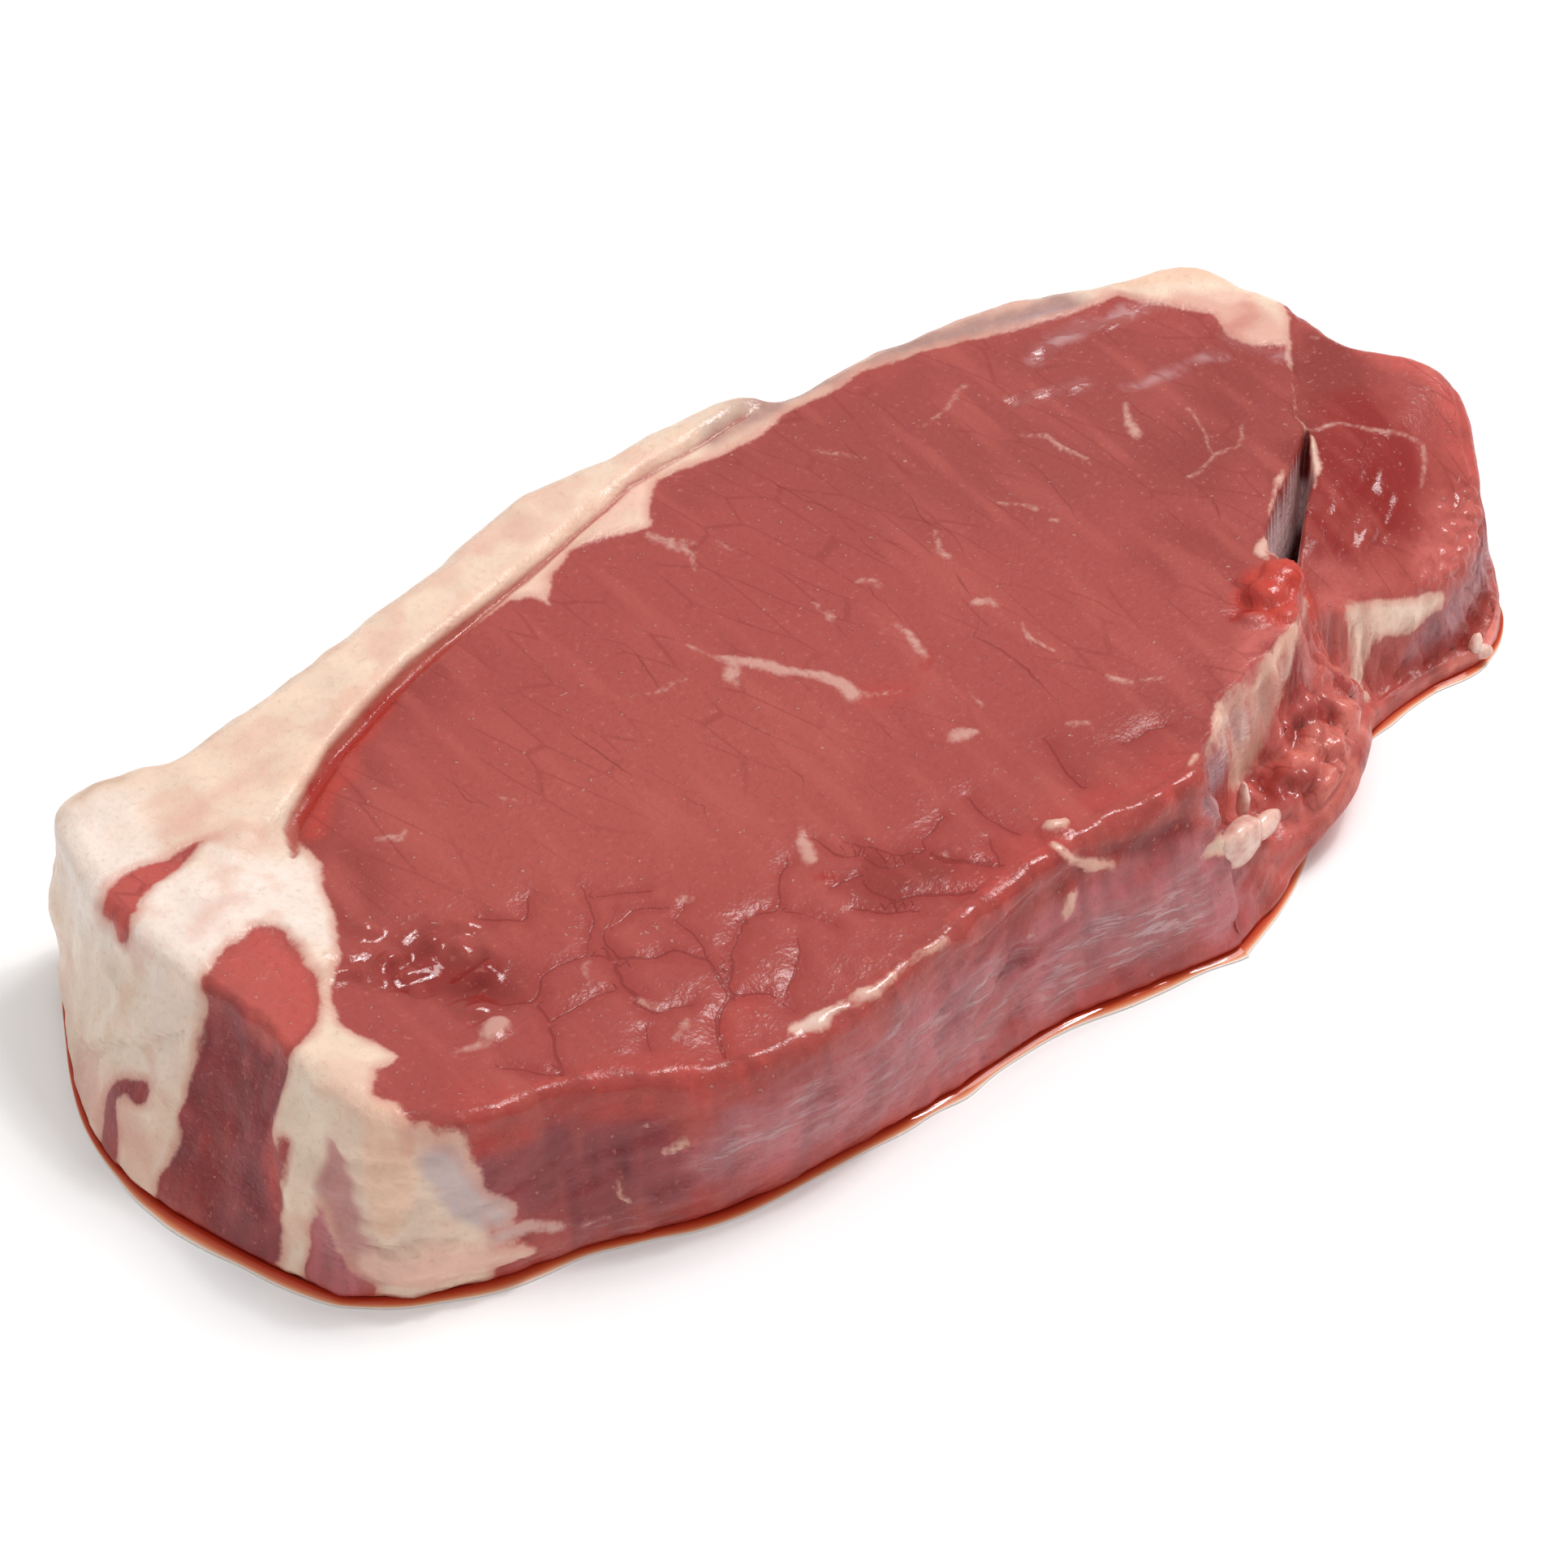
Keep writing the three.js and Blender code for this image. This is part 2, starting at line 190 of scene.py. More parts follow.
def strokes(points, rows):
    """Signed distance to a set of rounded strokes, positive inside. A stroke is a line of points,
    each with a radius last. Two numbers before it mean a stroke seen from above, three one in space."""
    field = np.full(len(points), -50.0)
    for row in rows:
        row = np.array(row, float)
        for a, b in zip(row, row[1:]):
            n = len(a) - 1
            line = b[:n] - a[:n]
            offset = points[:, :n] - a[:n]
            along = np.clip(offset @ line / max(line @ line, 1e-9), 0, 1)
            reach = a[n] + along * (b[n] - a[n])
            field = np.maximum(field, reach - np.linalg.norm(offset - along[:, None] * line, axis=1))
    return field


def face_height(x, y):
    """Height of the upper face: the eye muscle with its swells and the raised fat cap, the sloping
    side muscle, and the torn shelf that falls to the flap, blended across the two muscle edges."""
    flat = np.stack([x.ravel(), y.ravel(), 0 * x.ravel()], axis=1)
    ragged = noise(flat, raggedness, 2).reshape(x.shape)
    step = smooth(-side_distance(x, y, fat_seam), *fat_step_edge)
    t = smooth(x, *tail_slope_x)
    eye = thickness + mounds(x, y, swells) + fat_step * (step * t + smooth(y, *tail_slope_y) * (1 - t))
    shelf = shelf_height + shelf_rise * (y - shelf_y) + mounds(x, y, shelf_lumps)
    t = smooth(x, *shelf_to_flap)
    front = shelf * (1 - t) + flap_height * t
    past = (x - side_crest[0]) * side_downhill[0] + (y - side_crest[1]) * side_downhill[1]
    side = side_height - side_fall * (past + np.hypot(past, side_round)) / 2
    t = smooth(side_distance(x, y, side_edge) + 0.5 * ragged, *side_edge_width)
    right = side * (1 - t) + front * t
    t = smooth(-side_distance(x, y, eye_edge) + 0.6 * ragged, *eye_edge_width)
    return eye * (1 - t) + right * t


def cleft_drop(x, y):
    """Depth of the cleft below the face: a wedge whose half width and depth follow its line."""
    field = strokes(np.stack([x, y, 0 * x], axis=1), [cleft_line])
    width = np.interp(-x, [-p[0] for p in cleft_line], [p[2] for p in cleft_line])
    share = np.clip(field / np.maximum(width, cleft_least_width), 0, 1)
    full = cleft_depth * np.minimum(1, width / cleft_full_width)
    return full * np.interp(share, *cleft_profile)


def closed_curve(points, t, centripetal):
    """Smooth closed curve through points, t counting them: a cubic between each two, whose slopes
    come from the points beside them, weighted by the root of their distance where centripetal."""
    whole = np.floor(t).astype(int)
    f = (t - whole)[:, None]
    p0, p1, p2, p3 = (points[(whole + k) % len(points)] for k in (-1, 0, 1, 2))
    if centripetal:
        pairs = (p0, p1), (p1, p2), (p2, p3)
        d0, d1, d2 = (np.sqrt(np.linalg.norm(b - a, axis=1))[:, None] for a, b in pairs)
        s1 = ((p1 - p0) / d0 - (p2 - p0) / (d0 + d1) + (p2 - p1) / d1) * d1
        s2 = ((p2 - p1) / d1 - (p3 - p1) / (d1 + d2) + (p3 - p2) / d2) * d1
    else:
        s1, s2 = (p2 - p0) / 2, (p3 - p1) / 2
    return p1 + s1 * f + (3 * (p2 - p1) - 2 * s1 - s2) * f ** 2 + (2 * (p1 - p2) + s1 + s2) * f ** 3


def side_places(start, end, count):
    """Places along the rim between two stations, closer together at the wide end and the front."""
    samples = 60  # between two stations
    t = np.linspace(start, end, samples * (end - start) + 1)
    x, y = closed_curve(rim_stations[:, :2], t, True).T
    z = face_height(x, y)
    step = np.sqrt(np.diff(x) ** 2 + np.diff(y) ** 2 + np.diff(z) ** 2)
    step *= (1 + 0.9 * smooth(x[1:], 20, 42)) * (1 + 0.4 * smooth(-y[1:], 5, 30))
    length = np.concatenate([[0], np.cumsum(step)])
    return np.interp(np.arange(count) / count * length[-1], length, t)


cells_long, cells_wide = 304, 144
counts = (cells_long, cells_wide, cells_long, cells_wide)
places = np.concatenate([side_places(a, b, n) for a, b, n in zip(rim_corners, rim_corners[1:], counts)])
rim = closed_curve(rim_stations[:, :2], places, True)
spread, bulge = closed_curve(rim_stations[:, 2:], places, False).T
rim_height = face_height(rim[:, 0], rim[:, 1])
rim_reach = 6  # places each way that the rim's outward direction is taken over
ahead, behind = np.roll(rim, -rim_reach, axis=0), np.roll(rim, rim_reach, axis=0)
outward = np.stack([ahead[:, 1] - behind[:, 1], behind[:, 0] - ahead[:, 0]], axis=1)
outward /= np.linalg.norm(outward, axis=1)[:, None]
rim_shoulder = np.minimum(shoulder, rim_height / least_heights)


def patch(edge, nu, nv):
    """Grid that blends the four sides of a closed edge: the sum of the two straight blends between
    opposite sides, less the blend of the four corners."""
    u, v = np.meshgrid(np.arange(nu + 1) / nu, np.arange(nv + 1) / nv)
    u, v = u[..., None], v[..., None]
    front, right = edge[:nu + 1], edge[nu:nu + nv + 1]
    back = edge[nu + nv:2 * nu + nv + 1][::-1]
    left = np.concatenate([edge[2 * nu + nv:], edge[:1]])[::-1]
    return (front[None] * (1 - v) + back[None] * v + left[:, None] * (1 - u) + right[:, None] * u
            - edge[0] * (1 - u) * (1 - v) - edge[nu] * u * (1 - v)
            - edge[2 * nu + nv] * (1 - u) * v - edge[nu + nv] * u * v)


def edge_index(nu, nv):
    """Positions in a patch of the places of its edge, in the edge's own order."""
    row = nu + 1
    return np.concatenate([
        np.arange(nu), nu + row * np.arange(nv),
        nv * row + nu - np.arange(nu), row * (nv - np.arange(nv)),
    ])


def drawn_in(grid, path, pull, reach):
    """Draws the inner points of a grid towards the nearest point of a line, by a share of the way
    that fades over the reach, so that the steep ground along the line gets more rows."""
    x, y = grid[..., 0], grid[..., 1]
    best = np.full(x.shape, np.inf)
    way = np.zeros(grid.shape)
    for (ax, ay), (bx, by) in zip(path, path[1:]):
        dx, dy = bx - ax, by - ay
        along = np.clip(((x - ax) * dx + (y - ay) * dy) / (dx * dx + dy * dy), 0, 1)
        to_line = np.stack([ax + along * dx - x, ay + along * dy - y], axis=2)
        distance = np.linalg.norm(to_line, axis=2)
        way = np.where((distance < best)[..., None], to_line, way)
        best = np.minimum(distance, best)
    nv, nu = x.shape[0] - 1, x.shape[1] - 1
    i, j = np.meshgrid(np.arange(nu + 1), np.arange(nv + 1))
    inner = smooth(np.minimum(np.minimum(i, nu - i), np.minimum(j, nv - j)), 0, 10)
    return grid + way * (pull * np.exp(-(best / reach) ** 2) * inner)[..., None]


grid = patch(rim - outward * rim_shoulder[:, None], cells_long, cells_wide)
grid = drawn_in(grid, [p[:2] for p in cleft_line], pull=0.62, reach=4.5)
grid = drawn_in(grid, shelf_edge, pull=0.6, reach=4)
grid = drawn_in(grid, fat_seam, pull=0.4, reach=3)
gx, gy = grid[..., 0].ravel(), grid[..., 1].ravel()
upper = np.stack([gx, gy, face_height(gx, gy)], axis=1)

# wall: shoulder, face with its bulge, and rounded foot
shoulder_rows, wall_rows, foot_rows = 6, 30, 4
late_spread = 1.2  # power of the way down that the spread of the foot follows
lower_inset = 1
loops = []
for turn in np.linspace(0, math.pi / 2, shoulder_rows + 1)[1:]:
    step_in = -rim_shoulder * (1 - math.sin(turn))
    loops.append((step_in, rim_height - rim_shoulder * (1 - math.cos(turn))))
foot = rim_shoulder * foot_radius / shoulder
for down in np.arange(1, wall_rows + 1) / wall_rows:
    out = spread * down ** late_spread + bulge * math.sin(math.pi * down)
    loops.append((out, (rim_height - rim_shoulder) * (1 - down) + foot * down))
for turn in np.linspace(0, math.pi / 2, foot_rows + 1)[1:]:
    loops.append((spread - foot * (1 - math.cos(turn)), foot * (1 - math.sin(turn))))
wall = np.concatenate([
    np.column_stack([rim + outward * out[:, None], height]) for out, height in loops
])

# lower face, with half as many cells
half_long, half_wide = cells_long // 2, cells_wide // 2
foot_line = rim + outward * (spread - foot - lower_inset)[:, None]
lower = patch(foot_line[::2], half_long, half_wide).reshape(-1, 2)
lower = np.column_stack([lower, np.zeros(len(lower))])

points = np.concatenate([upper, wall, lower])
points[:, :2] -= slice_middle
on_top = np.arange(len(points)) < len(upper)
below = np.arange(len(points)) >= len(upper) + len(wall)
on_wall = ~on_top & ~below
down_wall = np.zeros(len(points))
down_wall[on_wall] = np.repeat(np.arange(1, len(loops) + 1) / len(loops), len(rim))


def grid_faces(nu, nv, start):
    """Four-sided faces of a grid of points whose numbers run along u, then v."""
    a = (np.arange(nv)[:, None] * (nu + 1) + np.arange(nu)).ravel() + start
    return np.stack([a, a + 1, a + nu + 2, a + nu + 1], axis=1)


rings = [edge_index(cells_long, cells_wide)]
rings += [len(upper) + k * len(rim) + np.arange(len(rim)) for k in range(len(loops))]
quads = [grid_faces(cells_long, cells_wide, 0)]
quads += [np.stack([a, b, np.roll(b, -1), np.roll(a, -1)], axis=1) for a, b in zip(rings, rings[1:])]
bottom_start = len(upper) + len(wall)
quads.append(grid_faces(half_long, half_wide, bottom_start)[:, ::-1])
inner = bottom_start + edge_index(half_long, half_wide)
last = rings[-1]
even, odd, later = last[::2], last[1::2], np.roll(last[::2], -1)
stitches = [np.stack(f, axis=1) for f in (
    (even, inner, odd), (odd, inner, np.roll(inner, -1)), (odd, np.roll(inner, -1), later))]
quads, stitches = np.concatenate(quads), np.concatenate(stitches)


def corner_normals(points, quads):
    """Outward direction at each point: the sum of its faces' crossed diagonals, made one long."""
    p = points[quads]
    face = np.cross(p[:, 2] - p[:, 0], p[:, 3] - p[:, 1])
    total = np.zeros_like(points)
    for k in range(4):
        np.add.at(total, quads[:, k], face)
    return total / np.maximum(np.linalg.norm(total, axis=1), 1e-9)[:, None]


normals = corner_normals(points, quads)
cleft = cleft_drop(points[on_top, 0] + slice_middle[0], points[on_top, 1] + slice_middle[1])
points[on_top, 2] -= cleft
in_cleft = np.zeros(len(points))
in_cleft[on_top] = smooth(cleft, 0.3, 6)

# Tissues. The two muscles are outlines seen from above. The others are rows of points with a radius
# last: three numbers are a place seen from above and its radius, four a place in space.
eye_outline = [
    (-66.5, 5), (-66.5, 10), (-64, 13.5), (-60, 16.5), (-55, 19.5), (-50, 22.2), (-45, 24.8), (-40, 26.8),
    (-35, 28.2), (-30, 29.5), (-24, 31), (-21, 29.5), (-20.5, 26), (-19.5, 29), (-17, 32), (-13, 34.5),
    (-8, 34.3), (-2, 33), (-1, 34.5), (1, 37.5), (4, 40), (10, 39.8), (18, 39.8), (25, 41.8), (38, 42.8),
    (46, 42), (52, 40.5), (60, 38.5), (66, 37.5), (72.5, 37), (74, 33.4), (77, 31), (80, 27), (78.5, 22),
    (80, 18.5), (83.4, 17), (80.3, 11.8), (76.2, 6), (75, 2), (71, -1), (66, -4.5), (62, -7.5), (59, -11),
    (56, -13.5), (56.5, -18), (58, -19.5), (51, -25.5), (46, -27.6), (41, -29.4), (34.5, -31.8), (28, -37.5),
    (26, -60), (-71, -60), (-74, -40.5), (-75.5, -39), (-79.8, -35.6), (-81, -30.6), (-79, -27.2),
    (-75.8, -27), (-76.8, -23.5), (-78.2, -19.5), (-77, -15.5), (-75.2, -12), (-72.6, -10.2), (-70, -5),
    (-68, 1),
]
side_outline = [
    (96, 28), (90.5, 26), (84.8, 17.8), (80.8, 12), (76.6, 6), (75.6, 2), (73.6, -3), (70, -5.3), (66, -8.5),
    (62, -12.5), (59, -16), (58.5, -19), (51.5, -26), (44, -30), (38, -33), (27.6, -37.4), (25.2, -60),
    (70, -60), (120, -40), (120, 28),
]
# strips of lean in the tail end's fat
strip_down_wall = [
    (-88.6, -14.4, 20, 6.6), (-91.2, -15.4, 15, 6.6), (-93.2, -17.2, 11, 7.6), (-95.3, -18.5, 6, 8.4),
    (-96.8, -18.8, 1, 9),
]
lean_strips = [
    [(-78.9, -4, 25, 2.4), (-80.9, -7, 25.3, 4.5), (-83, -10.3, 25.5, 6), (-85.4, -13.4, 25, 6.6),
     *strip_down_wall],
    [(-90.6, 6, 23.6, 0.7), (-89.6, 9.6, 25.3, 2.4), (-86, 12, 25.8, 2.4), (-81, 13.2, 25.7, 1.4),
     (-75, 13.4, 25.5, 0.2)],
    [(-94.8, -3.8, 11, 1), (-96.4, -1, 10, 1.2), (-97.4, 1, 8.6, 1.3), (-98.4, 0.2, 5, 1.5),
     (-99.3, -1.4, 0.8, 2)],
    [(-88.2, -30.2, 11, 0.9), (-88.8, -31, 7.5, 2.2), (-89.4, -32, 3.5, 3.4), (-88.4, -34.4, 1, 3)],
    [(-89.2, -23.6, 15.6, 0.8), (-90.2, -24.2, 12, 1.4)],
]
tendon = [(-81.6, -33.4, 23.6, 2.3), (-82, -35, 19, 3), (-83, -36, 14.5, 2.7), (-84.2, -36.4, 11, 1.6)]
torn_flap = [(-85.2, -37, 5.6, 2.2), (-81, -39, 5.4, 3.3), (-77, -40.8, 5.2, 2.6), (-73, -42.2, 4.4, 1.6),
             (-70, -43, 3.6, 1)]
upper_membrane = [
    (-85.4, -29, 18.6, 0.8), (-86.6, -31.4, 14, 2), (-86.6, -33.6, 9, 2.2), (-86, -36, 4.4, 1.8),
]
lower_membranes = [
    [(-77.2, -38, 18, 2.6), (-75.4, -40, 13, 2.4), (-72.4, -41.6, 9.6, 1.8)],
    [(-73, -42.2, 7, 1.3), (-68.6, -43, 6.4, 1), (-64, -44, 5.4, 0.8), (-60, -44.8, 4.8, 0.3)],
]
pale_ridge = [
    (-36.4, -47, 22, 0.8), (-33.4, -46.8, 22.4, 1.2), (-30.4, -47, 22, 0.9), (-25.7, -46.6, 22.2, 0.6),
    (-20, -45.4, 22.6, 0.4), (-15, -44.6, 22.8, 0.3),
]
cliff_rim = [(51, -25.2, 22.8, 0.5), (47.4, -27.4, 22.4, 1.2), (44, -28.8, 21.6, 1.4), (41.6, -30, 20, 1)]
cliff_fat = [
    cliff_rim, [(42, -30.4, 18, 0.9), (40.4, -31.4, 15.5, 0.7)],
    [(24, -43.6, 14, 0.8), (26.4, -43.6, 14.6, 1.6), (28.5, -43.8, 12.6, 1.6)],
]
side_fat = [
    [(65, -20, 14, 1.6), (68, -20.4, 12.6, 2.8), (73, -20.8, 11.2, 2.8), (78.6, -20.8, 10.6, 1.4)],
    [(66.4, -21.4, 10, 2.2), (65.2, -22.8, 6.4, 1.8), (64.4, -23.8, 3.4, 1.2)],
]
cleft_lips = [
    [(71.5, -0.7, 24, 0.2), (66, -4.3, 24, 0.5), (62, -7.3, 24, 0.5), (59, -10.8, 24, 0.6),
     (56, -13.5, 24, 0.7), (55.4, -15.5, 24, 0.9), (57, -17.4, 23, 0.9)],
    [(75.4, 2, 23.2, 0.25), (73.4, -2.6, 22.8, 0.3), (70.4, -5.4, 22.4, 0.2)],
    [(76, 4.2, 23.5, 0.25), (80, 4.8, 23.4, 0.3), (83.5, 3.6, 23, 0.2)],
]
tail_thread = [
    (-88.8, -26.6, 13.2, 0.8), (-90.4, -26.6, 10, 0.9), (-91.5, -27.6, 6.5, 0.9), (-91, -29.3, 5.2, 0.7),
]
wall_specks = [
    [(-54, -46, 12.9, 0.5), (-51.4, -47, 14.3, 0.8)], [(-48.2, -48, 13.3, 0.5), (-47.8, -48.2, 13.3, 0.4)],
    [(-56.2, -44.6, 16.4, 0.4), (-55.6, -45, 16.6, 0.3)],
    [(-59.3, -43.9, 10.8, 0.1), (-59, -44.3, 7.7, 0.25), (-57.8, -44.9, 5.9, 0.2), (-55.4, -46, 6.1, 0.2)],
]
lip_speck = [(5.2, -37.8, 24, 0.9), (7, -38.8, 24, 0.8)]
lip_threads = [
    lip_speck, [(4.2, -40, 24, 0.5), (4.8, -41, 23.2, 0.7), (7.6, -42.4, 20.2, 1), (10.8, -43, 19, 0.5)],
    [(4.3, -42.6, 17.7, 0.9), (4, -43.1, 15, 1)],
]
pit_speck = [(-2.4, -43.4, 15.6, 0.5), (-1.8, -43.5, 15.2, 0.4)]
edge_thread = [
    (22.5, -41.2, 23, 0.2), (27.9, -36.9, 24, 0.35), (32.9, -32.3, 23.8, 0.4), (37, -30.5, 23.6, 0.3),
]
fat_strokes = [
    tendon, torn_flap, upper_membrane, *lower_membranes, pale_ridge, *cliff_fat, *side_fat, *cleft_lips,
    tail_thread, *wall_specks, *lip_threads, pit_speck, edge_thread,
]
# flecks and threads of marbling in the eye muscle
raised_fleck = [(-63.4, -28, 1.1), (-64.8, -28.6, 0.9)]
flecks = [
    [(-11.5, 12.8, 0.1), (-9, 8.5, 0.3), (-8, 6.5, 0.8), (-4.8, 1.9, 0.8), (-1.4, -1.6, 1),
     (-0.8, -6.6, 1.2)],
    [(-0.8, -6.6, 0.5), (5.5, -10, 0.1)], [(-8, 6.5, 0.4), (-10, 3.6, 0.7), (-10.2, 1.6, 0.1)],
    [(10.5, 1.1, 0.2), (10.8, -2.7, 0.7), (10.1, -6.1, 0.5)], [(6.4, 9.1, 0.2), (5.5, 6.1, 0.35)],
    [(12.2, 9.5, 0.3), (13.1, 8.8, 0.5), (13.7, 7.1, 0.1)],
    [(26.1, 12.6, 0.1), (24.8, 9.2, 0.3), (23.6, 7.1, 0.4)], [(21.7, -1.6, 0.5), (22.7, -3, 0.4)],
    [(24, -7.2, 0.1), (23.2, -10.2, 0.45), (24.2, -13.6, 0.2)], [(34.8, 12.8, 0.2), (38, 9.6, 0.35)],
    [(38.2, 6.6, 0.3), (39.1, 5.4, 0.3)], [(59.8, 18.5, 0.3), (57.4, 13, 0.7)],
    [(44.8, 21.3, 0.15), (47.7, 19.3, 0.45), (49.1, 12.9, 0.25)],
    [(57, 3.6, 0.1), (62.8, 4.4, 0.2), (66.9, 4.5, 0.15), (69.2, 6.9, 0.15)],
    [(62.8, 4.4, 0.15), (66, 14, 0.12)], [(4.5, -19.4, 0.7), (6.2, -19.4, 0.9), (8.1, -20.1, 0.3)],
    [(26.7, -21.4, 0.5), (28.3, -23.3, 0.3)], [(18.3, -24.6, 0.35), (19.9, -25.7, 0.25)],
    [(11.7, -12.8, 0.1), (11.6, -15.4, 0.3), (11.1, -17.6, 0.1)],
    [(22.4, 33.8, 0.15), (24.2, 32, 0.2), (27.4, 28.8, 0.1)],
    [(-17.6, -20.6, 0.2), (-19.2, -24.4, 0.9), (-20.2, -26.3, 0.8)], [(-7, -34.4, 0.3), (-5.9, -36, 0.2)],
    raised_fleck, [(-66, -29.4, 0.4), (-70, -29.6, 0.3)],
    [(-58, 4, 0.3), (-56.5, 3, 0.4), (-55.5, 3.6, 0.2)], [(-48.8, -33.8, 0.4), (-47.8, -35.6, 0.3)],
    [(-46, -38.8, 0.2), (-48, -40.6, 0.15)],
    [(-3, 32, 0.3), (-2, 28.5, 0.5), (-0.8, 26, 0.35), (-2.4, 23.4, 0.1)],
    [(-1.5, 29, 0.25), (1, 27.2, 0.15)], [(3.4, 26, 0.2), (4.4, 24, 0.15)],
    [(-36, -23, 0.35), (-34.5, -24, 0.2)], [(-49.6, -26, 0.25), (-51, -28.4, 0.2)],
    [(-44, 3, 0.1), (-43, 0.5, 0.2)], [(-22, 8, 0.1), (-19, 6.5, 0.2), (-15, 7, 0.1)],
    [(36, 30, 0.1), (42, 31, 0.2), (46, 33.5, 0.1)], [(88, 17, 0.2), (91, 15, 0.3)],
    [(30, -24, 0.3), (31.6, -25, 0.2)],
    [(75.2, 2.7, 0.1), (80.2, 1.4, 0.25), (84.5, -2.2, 0.3), (88.5, -5.2, 0.25), (84.7, -9.5, 0.1)],
]
# seams between the bundles of fibre, with their half width: deeper in the front half, and long
# fine lines across the rest
deep_seams = [
    [(-58, -27, 0.25), (-55.3, -24, 0.2), (-52.8, -23.6, 0.2), (-48.8, -24.6, 0.2), (-47.2, -27.5, 0.25),
     (-48.7, -33.6, 0.2)],
    [(-62.5, -23.7, 0.1), (-60.7, -25.7, 0.2), (-58, -27, 0.25), (-58.3, -30.5, 0.2), (-59.8, -33.7, 0.25),
     (-63, -41, 0.25)],
    [(-58.2, -30.6, 0.2), (-53.9, -30.9, 0.15), (-50, -31.4, 0.1)],
    [(-48.8, -24.2, 0.1), (-46.7, -20.7, 0.15), (-44.2, -15.5, 0.1)],
    [(-43.5, -20.5, 0.1), (-45.7, -22.5, 0.2), (-46.7, -27.4, 0.25), (-41.6, -29.5, 0.2),
     (-38.8, -32.9, 0.2), (-39.8, -37.8, 0.4)],
    [(-45.7, -22.5, 0.15), (-41.2, -22, 0.15), (-37.7, -23.1, 0.1)],
    [(-31.4, -30.2, 0.2), (-36.4, -34.1, 0.2), (-40, -37.8, 0.4), (-42, -39.5, 0.4), (-45, -44.4, 0.4),
     (-46.2, -47, 0.2)],
    [(-49.2, -34.3, 0.15), (-48.1, -36.4, 0.15), (-44.5, -36.8, 0.1)],
    [(-40, -37.8, 0.25), (-36.2, -40.7, 0.2), (-34.9, -44, 0.1)],
    [(-31.3, -29.9, 0.15), (-27.9, -30.2, 0.15), (-24.1, -26.4, 0.2), (-22, -25, 0.15)],
    [(-27.9, -30.3, 0.1), (-23.4, -36.7, 0.1)],
    [(-28.7, -36, 0.15), (-31.6, -40.4, 0.2), (-34.1, -42, 0.15)], [(-51.1, -40.5, 0.1), (-50, -37.8, 0.1)],
    [(-43.9, -17.3, 0.1), (-38.8, -19.9, 0.1)],
    [(-56, -12.5, 0.1), (-52.4, -15.6, 0.15), (-50.6, -13.4, 0.1)], [(-67, -33.2, 0.15), (-62.7, -38, 0.1)],
    [(-38, -31.1, 0.15), (-37.6, -25.6, 0.1), (-35.9, -24.3, 0.1)],
    [(-17.2, -23.6, 0.1), (-16.8, -28, 0.2), (-15.3, -29.3, 0.15)],
    [(-14.3, -26, 0.15), (-14.4, -28, 0.2), (-11.4, -32.3, 0.2), (-8.7, -33.5, 0.35), (-6.9, -35.8, 0.6),
     (-5.5, -37.5, 0.6), (-3.3, -39, 0.3)],
    [(-15.5, -30.2, 0.1), (-14.5, -32.4, 0.2), (-12.1, -33.4, 0.15)],
    [(-8.7, -33.5, 0.2), (-7.7, -31.2, 0.2), (-3.5, -29.3, 0.1)],
    [(-20.6, -31.8, 0.15), (-17.3, -32.7, 0.2)],
    [(-17.1, -34.2, 0.15), (-15.9, -36.7, 0.35), (-11.8, -38.9, 0.4), (-6.7, -41.5, 0.3)],
    [(-20.2, -35.8, 0.2), (-18.1, -37.4, 0.3), (-15.2, -39.9, 0.2)],
    [(-1, -35.5, 0.15), (-2, -37.5, 0.2), (-3.4, -38.8, 0.2)],
    [(0.8, -28.4, 0.1), (0.8, -32.6, 0.2), (1.8, -35.9, 0.25)],
    [(46.2, -21.4, 0.5), (48, -20.6, 0.8), (50, -18.4, 0.8), (49.4, -16.4, 0.3)],
    [(14.5, -26, 0.1), (12.6, -32, 0.25), (12.5, -34, 0.2)],
    [(22, -31, 0.1), (25, -30.4, 0.2), (27, -31, 0.1)],
]
